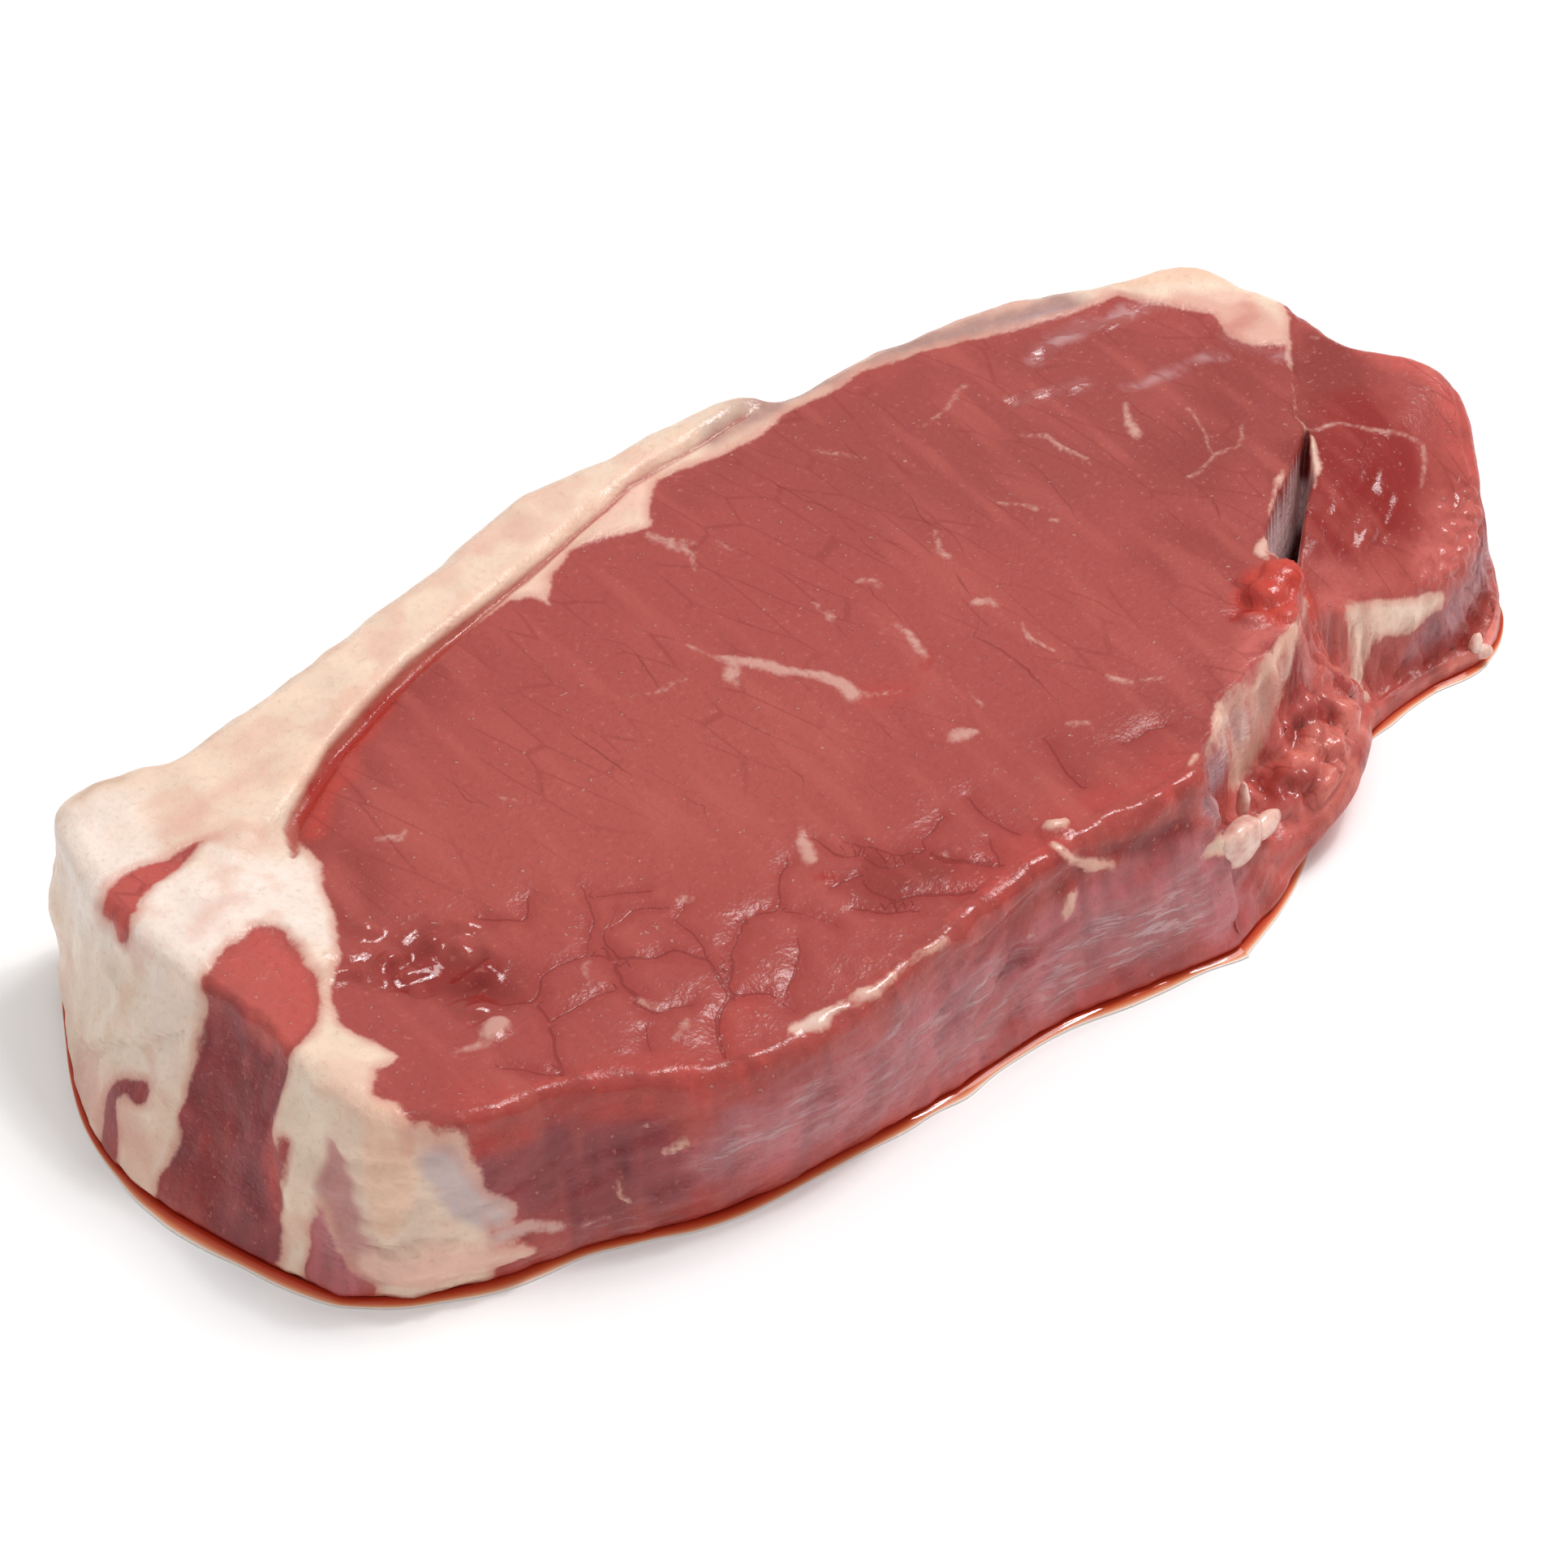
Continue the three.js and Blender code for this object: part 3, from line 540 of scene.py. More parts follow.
fine_seams = [
    [(14.5, 36.4, 0.06), (15.4, 29.9, 0.1), (16.9, 22.6, 0.1), (17.4, 14.5, 0.1), (16.7, 8.7, 0.06)],
    [(17.2, 18.8, 0.1), (19.7, 14.7, 0.1), (22.6, 6.6, 0.08)],
    [(27.4, 26.2, 0.06), (26.5, 20.4, 0.1), (26.6, 14.1, 0.1), (28.4, 3.4, 0.06)],
    [(22.7, 6.6, 0.2), (22.1, 2.9, 0.25), (21.7, -1.6, 0.15)],
    [(21.7, -1.6, 0.08), (17.6, -5.9, 0.12), (18.7, -10.1, 0.15), (18.4, -16.2, 0.15), (17.6, -25.8, 0.12)],
    [(24.6, -6.7, 0.08), (22.9, -10.9, 0.12), (23.9, -16.4, 0.12)],
    [(34.5, 18.2, 0.06), (34.6, 11.4, 0.1), (34.9, 2.3, 0.06)],
    [(52.3, 3.9, 0.06), (50.9, -2.7, 0.1), (49, -15.4, 0.1)],
    [(12.3, 12.7, 0.06), (12.8, 5, 0.1), (7.8, -7.6, 0.06)],
    [(31.5, -0.6, 0.05), (32.8, -7, 0.1), (35.5, -19.4, 0.05)],
    [(25.6, 36.5, 0.06), (26.8, 29.7, 0.1), (27, 26.5, 0.06)],
    [(58, 0, 0.1), (56.4, -3.6, 0.12), (55.5, -6.7, 0.06)],
    [(-6.8, -14, 0.06), (-6.8, -20.4, 0.12), (-7.8, -24.9, 0.1)],
    [(-13.7, -8, 0.06), (-13.7, -15, 0.1), (-16.5, -19.2, 0.1)],
    [(-30, 14, 0.05), (-31, 5, 0.1), (-29, -4, 0.1), (-33, -12, 0.08)],
    [(-29, -4, 0.08), (-25, -12, 0.1), (-27, -20, 0.06)], [(-46, 12, 0.05), (-47, 4, 0.1), (-44, -3, 0.08)],
    [(-2, 20, 0.05), (-3, 12, 0.1), (-1, 6, 0.08)],
    [(42, 24, 0.05), (43, 14, 0.1), (41, 4, 0.1), (43, -6, 0.06)],
    [(0, -9, 0.06), (-1, -15, 0.1), (1.5, -22, 0.08)],
    [(66, -8, 0.2), (72, -5, 0.1), (79, -4, 0.1), (86, 2, 0.1)],
    [(60, 24, 0.05), (61, 12, 0.1), (59.6, 4, 0.08)], [(-18, 22, 0.05), (-17, 12, 0.1), (-19, 3, 0.06)],
]
fold_line = [(16, 6.4), (11.3, 7), (6.3, 9.5), (2.2, 14), (-0.7, 14.4), (-2.6, 17.6), (-5.3, 19.4)]
front_lip = [
    (-79, -35.4, 23.4, 0.5), (-70, -39.4, 23, 0.5), (-62, -41.6, 23, 0.5), (-52, -45.6, 22.4, 0.5),
    (-44, -47.6, 22, 0.5), (-38, -48, 22, 0.5),
]
rolled_lip = [
    (-18, -44.8, 22.6, 0.4), (-11, -44, 22, 1), (-6, -43.3, 21.4, 1.3), (-1, -42.4, 22, 1.3),
    (3, -41, 23.2, 0.8), (8, -40.6, 23.6, 0.6), (18, -41, 23.4, 0.5), (25, -40, 23.4, 0.4),
]
pit = [(-6, -44.6, 12.2, 0.6), (-2.8, -43.8, 12.6, 1.2), (-3.4, -43.7, 14.3, 0.7)]
groove_line = [(-68, 7.5, 0.4), (-66, 11.5, 0.8), (-55, 19.6, 0.8), (-40, 27, 0.7), (-20, 33.2, 0.4),
               (0, 40.6, 0.2), (20, 44, 0.1)]

waviness = 0.8  # how far the borders of the tissues wander
warp = np.stack([noise(points, 5, 3, s) for s in (0, 11.3, 23.1)], axis=1)
bent = points + waviness * warp


def near(lines, low, high):
    """Share of each point in a set of strokes with wavy borders: it rises from 0 to 1 between two
    signed distances to their border."""
    return smooth(strokes(bent, lines), low, high)


# Shares of the regions of the slice. Their limits are places in mm.
x, y, z = points.T
on_left = on_wall * smooth(-x, 78, 83)
in_front = smooth(-y - 0.12 * x, 4, 24) * smooth(-x, -32, -15)
on_shelf = smooth(-side_distance(x, y, eye_edge), 0.5, 3) * on_top
on_shelf = on_shelf * smooth(side_distance(x, y, side_edge), -1.5, 1)
sheared = np.column_stack([x, y, z - 0.30 * x])
fibre = noise(points, (1.5, 1.5, 9), 2, 2.7)
muscle = np.maximum(inside(x, y, eye_outline), inside(x, y, side_outline))
muscle = np.maximum(muscle, strokes(bent, lean_strips)) + 0.3 * noise(points, 3, 3) + 0.25 * fibre * on_wall
fat = np.maximum(-muscle, strokes(bent, fat_strokes)) - 3 * in_cleft
# the flecks run through to the lower face, where they come out a little to the side
drift = 9, -6
seen = bent.copy()
seen[below, :2] += drift
fleck = np.where(on_wall, -5, strokes(seen, flecks))

# silverskin: a thin skin on the front of the eye muscle, in the cleft, and under the side muscle; at
# the back right of the face its whitish streaks also stand as painted highlight along the wet bands
skin_and_highlight = near([
    [(-86, -29.5, 16, 1), (-86.6, -32.5, 11, 2), (-87, -33.6, 6, 2)],
    [(-74, -42, 3, 1.4), (-60, -44.4, 3.6, 1.4), (-52, -47, 3.4, 0.4)],
    [(-48, -48, 10, 2), (-30, -49, 13, 6), (-12, -46, 10, 6), (6, -44, 9, 5), (22, -45, 10, 5),
     (27, -44, 8, 3)],
    [(27, -40.5, 19, 2.6), (32, -35.5, 18, 3.2), (37, -32.5, 17, 3), (41, -31, 15, 2)],
    [(70, -22.5, 6, 2.4), (79, -22, 6, 2.6), (87, -19, 6, 3), (92.5, -14, 6, 2.6)],
], -3, 3) * on_wall * (0.25 + 0.75 * smooth(noise(sheared, (9, 9, 3.2), 3, 7.1), -0.35, 0.45))
skin_and_highlight = np.maximum.reduce([
    skin_and_highlight, 0.35 * in_cleft * smooth(side_distance(x, y, cleft_line), -0.2, 0.5),
    0.9 * near([[(30, -38, 20, 2), (35, -33, 19, 2.4), (40, -31.5, 17, 1.6)]], -1, 1),
    # whitish streaks over the face at the back right: partly lilac skin, partly painted highlight along the
    # wet bands
    0.7 * near([
        [(50, 27.4, 24, 0.3), (58, 25, 24, 0.5)],
        [(56, 33, 24, 0.6), (66, 35, 24, 1.4), (75, 33.6, 24, 0.8)],
        [(62, 21.4, 24, 0.3), (76, 20, 24, 0.6)], [(79, 22, 24, 0.4), (82, 15, 24, 0.3)],
    ], -1.4, 0.6) * on_top,
]) * (1 - 0.7 * smooth(fat, 0.2, 1))

# Wet places: width of the soft edge, strength, the side they lie on, and their strokes. Then blood,
# in the groove, the torn edge, a few seams and the foot.
wet_cluster = [
    [(-74, -12, 1.5), (-67, -14, 4), (-62, -19, 4), (-64, -24, 2)], [(-66, -11, 2), (-59, -15, 2.4)],
    [(-69, -5, 0.4), (-68, -9, 1)],
]
wet_places = [
    (3, 1, on_top, wet_cluster),
    (0.8, 1, 1, [pit, [(1.3, -43.2, 13.3, 0.9), (3.1, -43.2, 13.2, 0.7)]]),
    (2, 1, 1, [[(66, -10, 22, 1), (71, -12, 20, 3), (77, -9.5, 20, 2)],
               [(84, -16, 15, 2), (90, -11, 15, 2)]]),
    (3, 0.75, on_top, [[(72, -8, 3), (80, -4, 5), (86, 3, 4)], [(74, -17, 2), (88, -8, 3)]]),
    (2, 0.9, 1, [[(34, -39, 11, 3), (44, -33, 12, 5), (54, -28, 13, 5), (60, -23, 12, 4)],
                 [(50, -20, 24, 1), (57, -18, 24, 1)]]),
    (0.7, 1, on_top, [[(-60, 15.6, 0.4), (-50, 22.4, 0.7), (-30, 29.6, 0.7), (-5, 37.4, 0.6)]]),
    (1, 0.9, on_top, [[(58, 33, 1), (64, 33, 2), (72, 36, 2)], [(48, 28, 0.6), (58, 25, 0.8)],
                      [(61, 21.5, 0.6), (75, 20, 0.8)]]),
    (1.4, 0.95, 1, [front_lip, rolled_lip, pale_ridge]),
    (0.8, 0.95, on_top, [
        [(-36, -24, 0.6), (-33, -25.6, 0.7)], [(-30, -30, 0.5), (-27.6, -29.6, 0.5)],
        [(-22, -26.4, 0.6), (-20, -27, 0.6)], [(-8, -34, 0.4), (-6.4, -36.4, 0.7)],
        [(-31.8, -40.8, 0.4), (-33, -41.6, 0.4)], [(-63, -28, 1.2), (-70, -30, 0.8)]]),
    (2, 0.7, 1, [[(-99, -7, 3, 1.6), (-98, -11, 2, 1.2)], [(-97, 12, 6, 1.4), (-98, 4, 6, 1.4)]]),
    (3, 0.6, on_top, [[(-82, 28, 2), (-60, 30, 2), (-30, 38, 2), (-4, 44, 2)], [(14, 44, 1), (50, 43, 1)]]),
]
wet = np.max([
    strength * where * near(lines, -soft, 0.4) for soft, strength, where, lines in wet_places
], axis=0)
wet = np.maximum(wet, 0.12 + 0.3 * in_front * on_top)
groove = smooth(strokes(points, [groove_line]), -0.6, 0.4) * on_top
blood = np.maximum.reduce([
    0.9 * groove, 0.8 * near([[(46.4, -21.6, 24, 0.8), (49.4, -19.2, 24.5, 1)]], -1, 0.5),
    near([[(-20.8, -29.4, 0.4), (-20, -30.8, 0.5)]], -0.7, 0.3) * on_top,
    0.6 * near([[(9.4, -7, 0.5), (11.4, -5.6, 0.3)]], -1.2, 0.4) * on_top,
    0.8 * smooth(-z, -2.2, -0.2) * on_wall * smooth(-y, -12, 0),
])

lean = smooth(-fat, -0.4, 0.6)
wavy = bent[:, :2]
faded, thinned = -0.16, 0.02  # half width at the ends of a fine seam, and what it loses between them
thin_seams = [
    [(*row[0][:2], faded), *((a, b, r - thinned) for a, b, r in row[1:-1]), (*row[-1][:2], faded)]
    for row in fine_seams
]
seam_reach = 6.0  # beyond this distance a seam counts for nothing
seam, seam_half = nearest_line(*wavy.T, deep_seams + thin_seams, seam_reach)
deep_reach = np.abs(nearest_line(*wavy.T, deep_seams, seam_reach)[0])
seam_half = 0.7 * seam_half + 0.09 * noise(points, 5, 2, 9.7) - 2 * smooth(np.abs(seam), 0.8, 1.8)
seam_half = np.where(on_top, seam_half, -2) - 2 * (1 - lean)
near_seam = np.exp(-(deep_reach / 1.3) ** 2) * lean * on_top


def domes(x, y, rows):
    """Height of the highest of a set of half ellipsoids: their height times the root of 1 - r^2."""
    rise = np.zeros(len(x))
    for cx, cy, rx, ry, h in rows:
        rise = np.maximum(rise, h * np.sqrt(np.clip(1 - ((x - cx) / rx) ** 2 - ((y - cy) / ry) ** 2, 0, 1)))
    return rise


torn_lobes = domes(bent[:, 0], bent[:, 1], [
    (45, -29.6, 3.2, 2.6, 1.7), (49.5, -29.2, 2.6, 2.4, 1.5), (43.9, -34.9, 3.2, 2.4, 1.8),
    (50.2, -33.8, 3.6, 2.4, 1.9), (56.1, -31.7, 3, 2.4, 1.6), (41, -37.8, 2.6, 2, 1.3),
    (48.2, -38.6, 4.2, 2.2, 1.8), (54, -26.6, 3, 2.2, 1.3), (60, -25.5, 3.6, 2.4, 1.3),
    (38.5, -34.8, 1.6, 2.2, 1), (64, -22.6, 3, 2.2, 1.1), (58, -22, 2.4, 1.8, 1), (53, -36.4, 2, 1.8, 1.1),
])
torn_edge = domes(bent[:, 0], bent[:, 1], [
    (51, -20, 2.4, 1.8, 1.3), (55, -18.6, 3, 2, 1.3), (47.6, -22.6, 1.8, 1.4, 0.9),
    (50.8, -23.4, 1.8, 1.3, 0.8),
])
pebble_long, pebble_wide, crack = 2.2, 2, 0.5
pebbles = cell_border(x + warp[:, 0], y + warp[:, 1], pebble_long, pebble_wide)
pebbles = np.exp(-(pebbles * pebble_long / crack) ** 2)
corner = near([[(79, -18.8, 13, 2), (85, -17, 13.5, 3.5), (91, -12.5, 13.5, 4)]], -2.5, 1)
cluster = near(wet_cluster, -2, 1) * on_top
side_wet = near([[(66, -12, 21, 2), (72, -12, 20, 3), (77, -9, 20, 2)]], -3, 1) * on_top
back_wet = near([
    [(48, 28, 24, 1), (58, 25, 24, 1)], [(61, 21.5, 24, 0.8), (75, 20, 24, 1)],
    [(58, 33, 24, 1.4), (72, 36, 24, 2)],
], -2, 0.8) * on_top
turned = np.column_stack([0.83 * x + 0.56 * y, 0.83 * y - 0.56 * x, z])
rounding = np.sin(np.pi * np.clip(down_wall, 0, 1)) ** 0.5
fold = side_distance(y, z, fold_line)
by_fold = on_left * smooth(y, -7, -4) * smooth(-y, -17, -12)
strip_wall = near([strip_down_wall], -0.6, 0.6) * on_wall
tangle = 1 - 2 * np.abs(noise(points, (3.4, 2.2, 2.2), 3, 6.6))
cliff = near([
    [(27, -41.4, 18, 2.4), (31, -37, 19, 2.8), (36, -32.6, 18, 3), (42, -29.8, 18, 2.6),
     (50, -25.8, 20, 1.6)],
], -1.5, 0.8)

# relief of the surface, in millimetres along its own outward direction
faces_relief = (
    0.20 * noise(points, 22, 2) + 0.07 * noise(points, 5, 2, 8.1)
    - (0.16 * near_seam + 0.32 * np.exp(-deep_reach / 2.4) * lean * on_top)
    - 0.6 * groove
    + 0.12 * smooth(fleck, -0.4, 0.5)
    + (1 - lean) * (0.36 * noise(points, 8, 2, 4.4) + 0.10 * noise(points, 2.6, 2, 9.2))
    + 0.25 * smooth(fat, 0, 0.9) * on_top + 0.5 * near([raised_fleck], -0.8, 0.6) * on_top
    + 0.9 * cluster * (2.4 * np.abs(noise(points, 2.5, 1)) - 0.6)
    + 0.11 * noise(points, 2.2, 1, 6.5) * (0.3 + in_front)
    + 0.8 * side_wet * noise(turned, (7, 1.7, 3), 2, 2.4)
    + 0.6 * back_wet * noise(points, (4, 1.8, 2), 1, 3.9)
    + cliff * (0.7 * noise(points, (1.8, 1.8, 9), 2, 6.1) + 0.2 * noise(points, 1.5, 1, 2.2))
    + corner * (0.3 - 0.5 * pebbles)
    + on_shelf * (torn_lobes + 0.6 * tangle - 0.9)
    + torn_edge * on_top
)
lips = (
    0.3 * near([front_lip], -1.5, 0.5) * (1 + noise(points, 3, 2, 5.1))
    + 0.7 * near([rolled_lip], -1.6, 0.6) * (1 + 0.6 * noise(points, 3, 2, 5.1))
    + 0.6 * near([pale_ridge], -0.7, 0.8) * (1 + noise(points, 2.4, 1, 6.1))
    - 1.1 * near([pit], -0.8, 0.6)
    + 0.5 * near([*wall_specks, lip_speck], -0.6, 0.4) + 0.5 * near([*lip_threads, pit_speck], -0.9, 0.5)
)
front_wall = on_wall * smooth(-y, 24, 32)
walls_relief = (
    front_wall * smooth(-x, -64, -60) * (
        0.5 * noise(points, (20, 20, 9), 2, 1.5) + 0.75 * creases(sheared, (10, 10, 2.8), 3, 5.5))
    + front_wall * smooth(-x, -30, -26) * 0.4 * creases(sheared, (5, 5, 1.6), 2, 2.2)
    + on_left * (0.40 * noise(points, 6, 2, 7.7) + 0.10 * fibre) - 0.45 * strip_wall
    + on_left * smooth(fat, 0.2, 1.2) * 0.7 * creases(points, (4, 5, 5), 2, 3.7)
    + 0.8 * near([tendon], -0.3, 0.3)
    + 1.1 * near([torn_flap], -0.5, 0.5) * (0.8 + 0.8 * noise(points, 2.4, 2, 1.9))
    + 0.5 * near([tail_thread], -0.5, 0.4) - 0.5 * near([upper_membrane], -0.6, 0.6)
    + by_fold * (
        0.9 * smooth(fold, -0.3, 0.7) * smooth(-fold, -7, -1)
        - 0.9 * smooth(-fold, -0.5, 0.5) * smooth(fold, -6, -2))
    + on_wall * smooth(y, 20, 30) * (
        0.55 * noise(points, (13, 13, 8), 2, 3.1) + 0.6 * creases(sheared, (9, 9, 4), 2, 8.8))
    + on_wall * smooth(x, 72, 80) * (0.35 * noise(points, 7, 2, 2.9) + 0.2 * fibre)
)
relief = (faces_relief + lips + walls_relief * rounding) * (1 - 0.8 * in_cleft)
relief = np.where(below, 0.1 * relief - 0.15, relief)
points = points + normals * relief[:, None]
points[:, 2] = np.maximum(points[:, 2], 0)
points[below, 2] = np.maximum(0.06 * noise(points[below], 5, 2), 0)
x, y, z = points.T


def linear(hex_code):
    """Linear colour of an sRGB hex code."""
    parts = np.array([int(hex_code[i:i + 2], 16) for i in (1, 3, 5)]) / 255
    return np.append(np.where(parts <= 0.04045, parts / 12.92, ((parts + 0.055) / 1.055) ** 2.4), 1)


# colours of the tissues: muscle from freshly torn to dried, its skins, and fat, with one near-white
# skin for the cleft that is painted lighter than the skin itself, as painted light where the cleft
# lies in shade
hues = {
    "red": "#a5463f", "warm red": "#ab4d43", "dull red": "#98403b", "deep red": "#8b312b",
    "dark red": "#762320", "clear red": "#b0413a", "bright red": "#c83c2c", "pink red": "#c1544b",
    "pink": "#d7796b", "rose": "#c4625a", "wet red": "#8c1f1b", "wine": "#8f3d40", "mauve": "#b06064",
    "lilac": "#a98389", "silver": "#cdb6b3", "fat": "#ebcfb9", "white fat": "#f4e3d8", "warm fat": "#edc5ab",
    "yellow fat": "#ecd5bf", "pink fat": "#dca796", "tan": "#c49a78", "grey fat": "#ad857c",
    "blushed fat": "#e8bba9", "lit_pearl": "#fbe4e4",
}


def painted(ground, rows):
    """Colour of every point: soft strokes laid one after another over a ground colour. A row gives
    a stroke's colour, its strength, the width of its soft edge in mm, and its lines."""
    colour = np.tile(linear(hues[ground]), (len(points), 1))
    for hue, strength, soft, lines in rows:
        place = points + min(0.5 * soft, 2) * warp
        share = strength * smooth(strokes(place, lines), -soft, 0.3 * soft)
        colour += share[:, None] * (linear(hues[hue]) - colour)
    return colour


lean_colour = painted("red", [
    # cut face of the eye muscle: warmer in the tail half, duller towards the back and the groove
    ("warm red", 0.8, 16, [[(-50, -4, 10), (-22, -8, 12)]]),
    ("dull red", 0.8, 14, [[(28, 24, 8), (62, 14, 12)]]),
    ("deep red", 0.6, 7, [[(60, 6, 3), (72, 12, 3), (76, 18, 3)], [(48, -8, 3), (54, -12, 2)]]),
    ("dull red", 0.7, 6, [[(4, 35, 1), (30, 38, 1), (50, 37, 1), (66, 30, 2)]]),
    ("deep red", 0.6, 6, [[(-66, 8, 0.5), (-58, 16, 1), (-50, 20.4, 1), (-35, 25.6, 0.3)],
                          [(-62, 3, 2), (-68, -6, 1)]]),
    ("bright red", 0.5, 1.6, [[(-64, 10, 0.6), (-60, 14, 0.8), (-54, 18.4, 0.6), (-46, 22.6, 0.3)]]),
    ("deep red", 0.9, 4, [[(-71, -12, 1), (-65, -16, 3.4), (-60, -23, 2.4)], [(-15, -34, 2), (-8, -38, 2)]]),
    ("wet red", 0.6, 3, [[(-70, -13, 1), (-65, -16, 2.4), (-61, -21, 1.6)]]),
    ("clear red", 0.7, 5, [[(-72, -37, 1), (-60, -41.5, 1), (-44, -46.5, 1)],
                           [(-40, -40, 1), (-44, -45, 1)]]),
    ("clear red", 0.8, 4, [[(-6, -41, 1.5), (2, -39, 1.5), (14, -38, 2), (24, -37, 2)],
                           [(2, -8, 0.8), (6, -9.6, 0.8)]]),
    ("deep red", 0.35, 8, [[(18, -30, 3), (32, -30, 2)]]),
    # torn edge and shelf, with a painted highlight in pink on the tops of its lobes and painted shade in
    # wet red in the hollows between them
    ("rose", 0.9, 3, [[(36, -38, 4), (46, -32, 6), (56, -27, 5), (64, -22.5, 3)]]),
    # pink on the tops of the lobes: painted highlight
    ("pink", 0.8, 2, [
        [(44, -34.6, 1.2), (49, -34.2, 1.6), (56, -31.4, 1.2)], [(46, -39, 0.8), (52, -37, 1)],
        [(60, -24.4, 0.8), (64, -22.6, 0.8)]]),
    # wet red in the hollows between the lobes: partly wet tissue, partly painted shade
    ("wet red", 0.7, 1.6, [
        [(40.6, -32.4, 0.8), (41.6, -36.4, 1.2), (45, -37, 0.6)], [(47, -31.8, 0.6), (53, -30.2, 0.6)],
        [(50.6, -27, 0.9), (45.6, -28.2, 0.6)], [(55, -23.4, 0.6), (58, -27.6, 0.5)]]),
    ("bright red", 0.9, 2, [[(48.4, -20.6, 1), (52, -18.6, 2), (56.4, -18.6, 2)],
                            [(50, -23.4, 0.9), (53, -22, 1)]]),
    # side muscle: a dark wet middle and a paler outer band, with a painted highlight in pink on its
    # rounded right corner
    ("deep red", 1, 4, [[(66, -11, 2), (74, -4, 5), (82, 4, 4), (88, 14, 3)]]),
    ("wet red", 0.95, 4, [[(66, -12, 1.4), (72, -11, 4), (79, -6, 6), (83, 2, 4)]]),
    ("pink red", 0.95, 3, [[(92, 18, 1), (96.5, 8, 2), (98, 0, 2), (95, -7, 1.5)]]),
    # painted highlight on the rounded right corner
    ("pink", 0.8, 3, [[(97.4, 10, 20, 1.4), (98.4, 4, 20, 1)]]),
    ("rose", 0.4, 3, [[(64, -16, 1), (74, -19, 1), (80, -17, 1)]]),
    ("rose", 0.9, 3, [[(80, -18, 14, 1.6), (87, -15.4, 14, 2.6), (92, -11, 14, 2.4)]]),
    # tail end
    ("wine", 1, 3, [[(-89.5, -14.5, 19, 7), (-93, -17, 11, 10), (-96.5, -19, 1, 11)],
                    [(-96.5, -1, 9, 3), (-99, -2.5, 1, 4)]]),
    ("deep red", 0.7, 3, [[(-93, -14, 14, 2), (-96.4, -16, 4, 3)]]),
    ("pink red", 0.6, 2, [[(-89.4, -22.4, 17, 1), (-92, -25, 9, 1)]]),
    ("pink red", 0.9, 2.5, [[(-79, -3, 25, 1), (-81, -8, 26, 3.4), (-83.4, -14, 26.4, 4)],
                            [(-91, 9, 25, 2), (-84, 12, 26, 3)]]),
    ("mauve", 0.9, 2, [[(-88.2, -31, 10, 2), (-89.2, -33, 3, 3)]]),
    # front wall: wine red under its skin, redder at the wide end and below the rim
    ("wine", 1, 3, [[(-72.5, -41, 14, 4), (-62, -43.6, 12, 6), (-55, -46, 10, 5)]]),
    ("mauve", 1, 5, [[(-44, -49, 10, 5), (-30, -50, 10, 6), (-10, -46, 9, 7), (2, -44, 9, 6),
                      (14, -44, 10, 7), (24, -44, 9, 6)]]),
    ("clear red", 0.7, 2.5, [[(-72, -39.4, 20.4, 0.6), (-58, -43.6, 19.4, 0.8), (-46, -48, 18.6, 1)]]),
    ("clear red", 0.7, 4, [[(-50, -48, 4, 0.6), (-30, -49, 4, 0.6), (-8, -46, 3, 1), (20, -46, 2.4, 1.6),
                            (31, -42, 2.4, 2)]]),
    ("dark red", 0.9, 2, [[(6, -42.4, 21.4, 0.4), (16, -42.6, 20, 0.6), (22, -42.4, 19, 0.4)]]),
    ("wet red", 0.7, 1.4, [[(-7, -45, 12.4, 0.3), (-3, -44.4, 12.2, 0.9), (3, -43.4, 13.4, 0.5)]]),
    ("lilac", 0.9, 2, [[(27.6, -40.5, 19, 1.4), (31, -36, 18.6, 1.6), (35, -33, 18.4, 1.6),
                        (39, -32, 15, 1.4)]]),
    # side wall and flap
    ("lilac", 0.6, 2.5, [[(74, -22, 6.5, 1.2), (80, -21.6, 7.4, 1.6), (88, -18, 7, 2), (93, -12, 7, 1.6)]]),
    ("deep red", 0.9, 2, [[(73, -23, 4, 0.8), (82, -22.6, 4, 1), (89, -18.4, 3.4, 1)]]),
    ("pink", 0.9, 1.5, [[(72, -25, 2, 0.6), (84, -24.4, 2.2, 0.8), (92, -19, 2, 0.8)]]),
    # near-white skin down the cleft: painted lighter than the skin itself, as painted light where the cleft
    # lies in shade
    ("lit_pearl", 1, 1, [[(p[0] - 2, p[1] + 1.4, 16, 5) for p in cleft_line[1:5]]]),
])
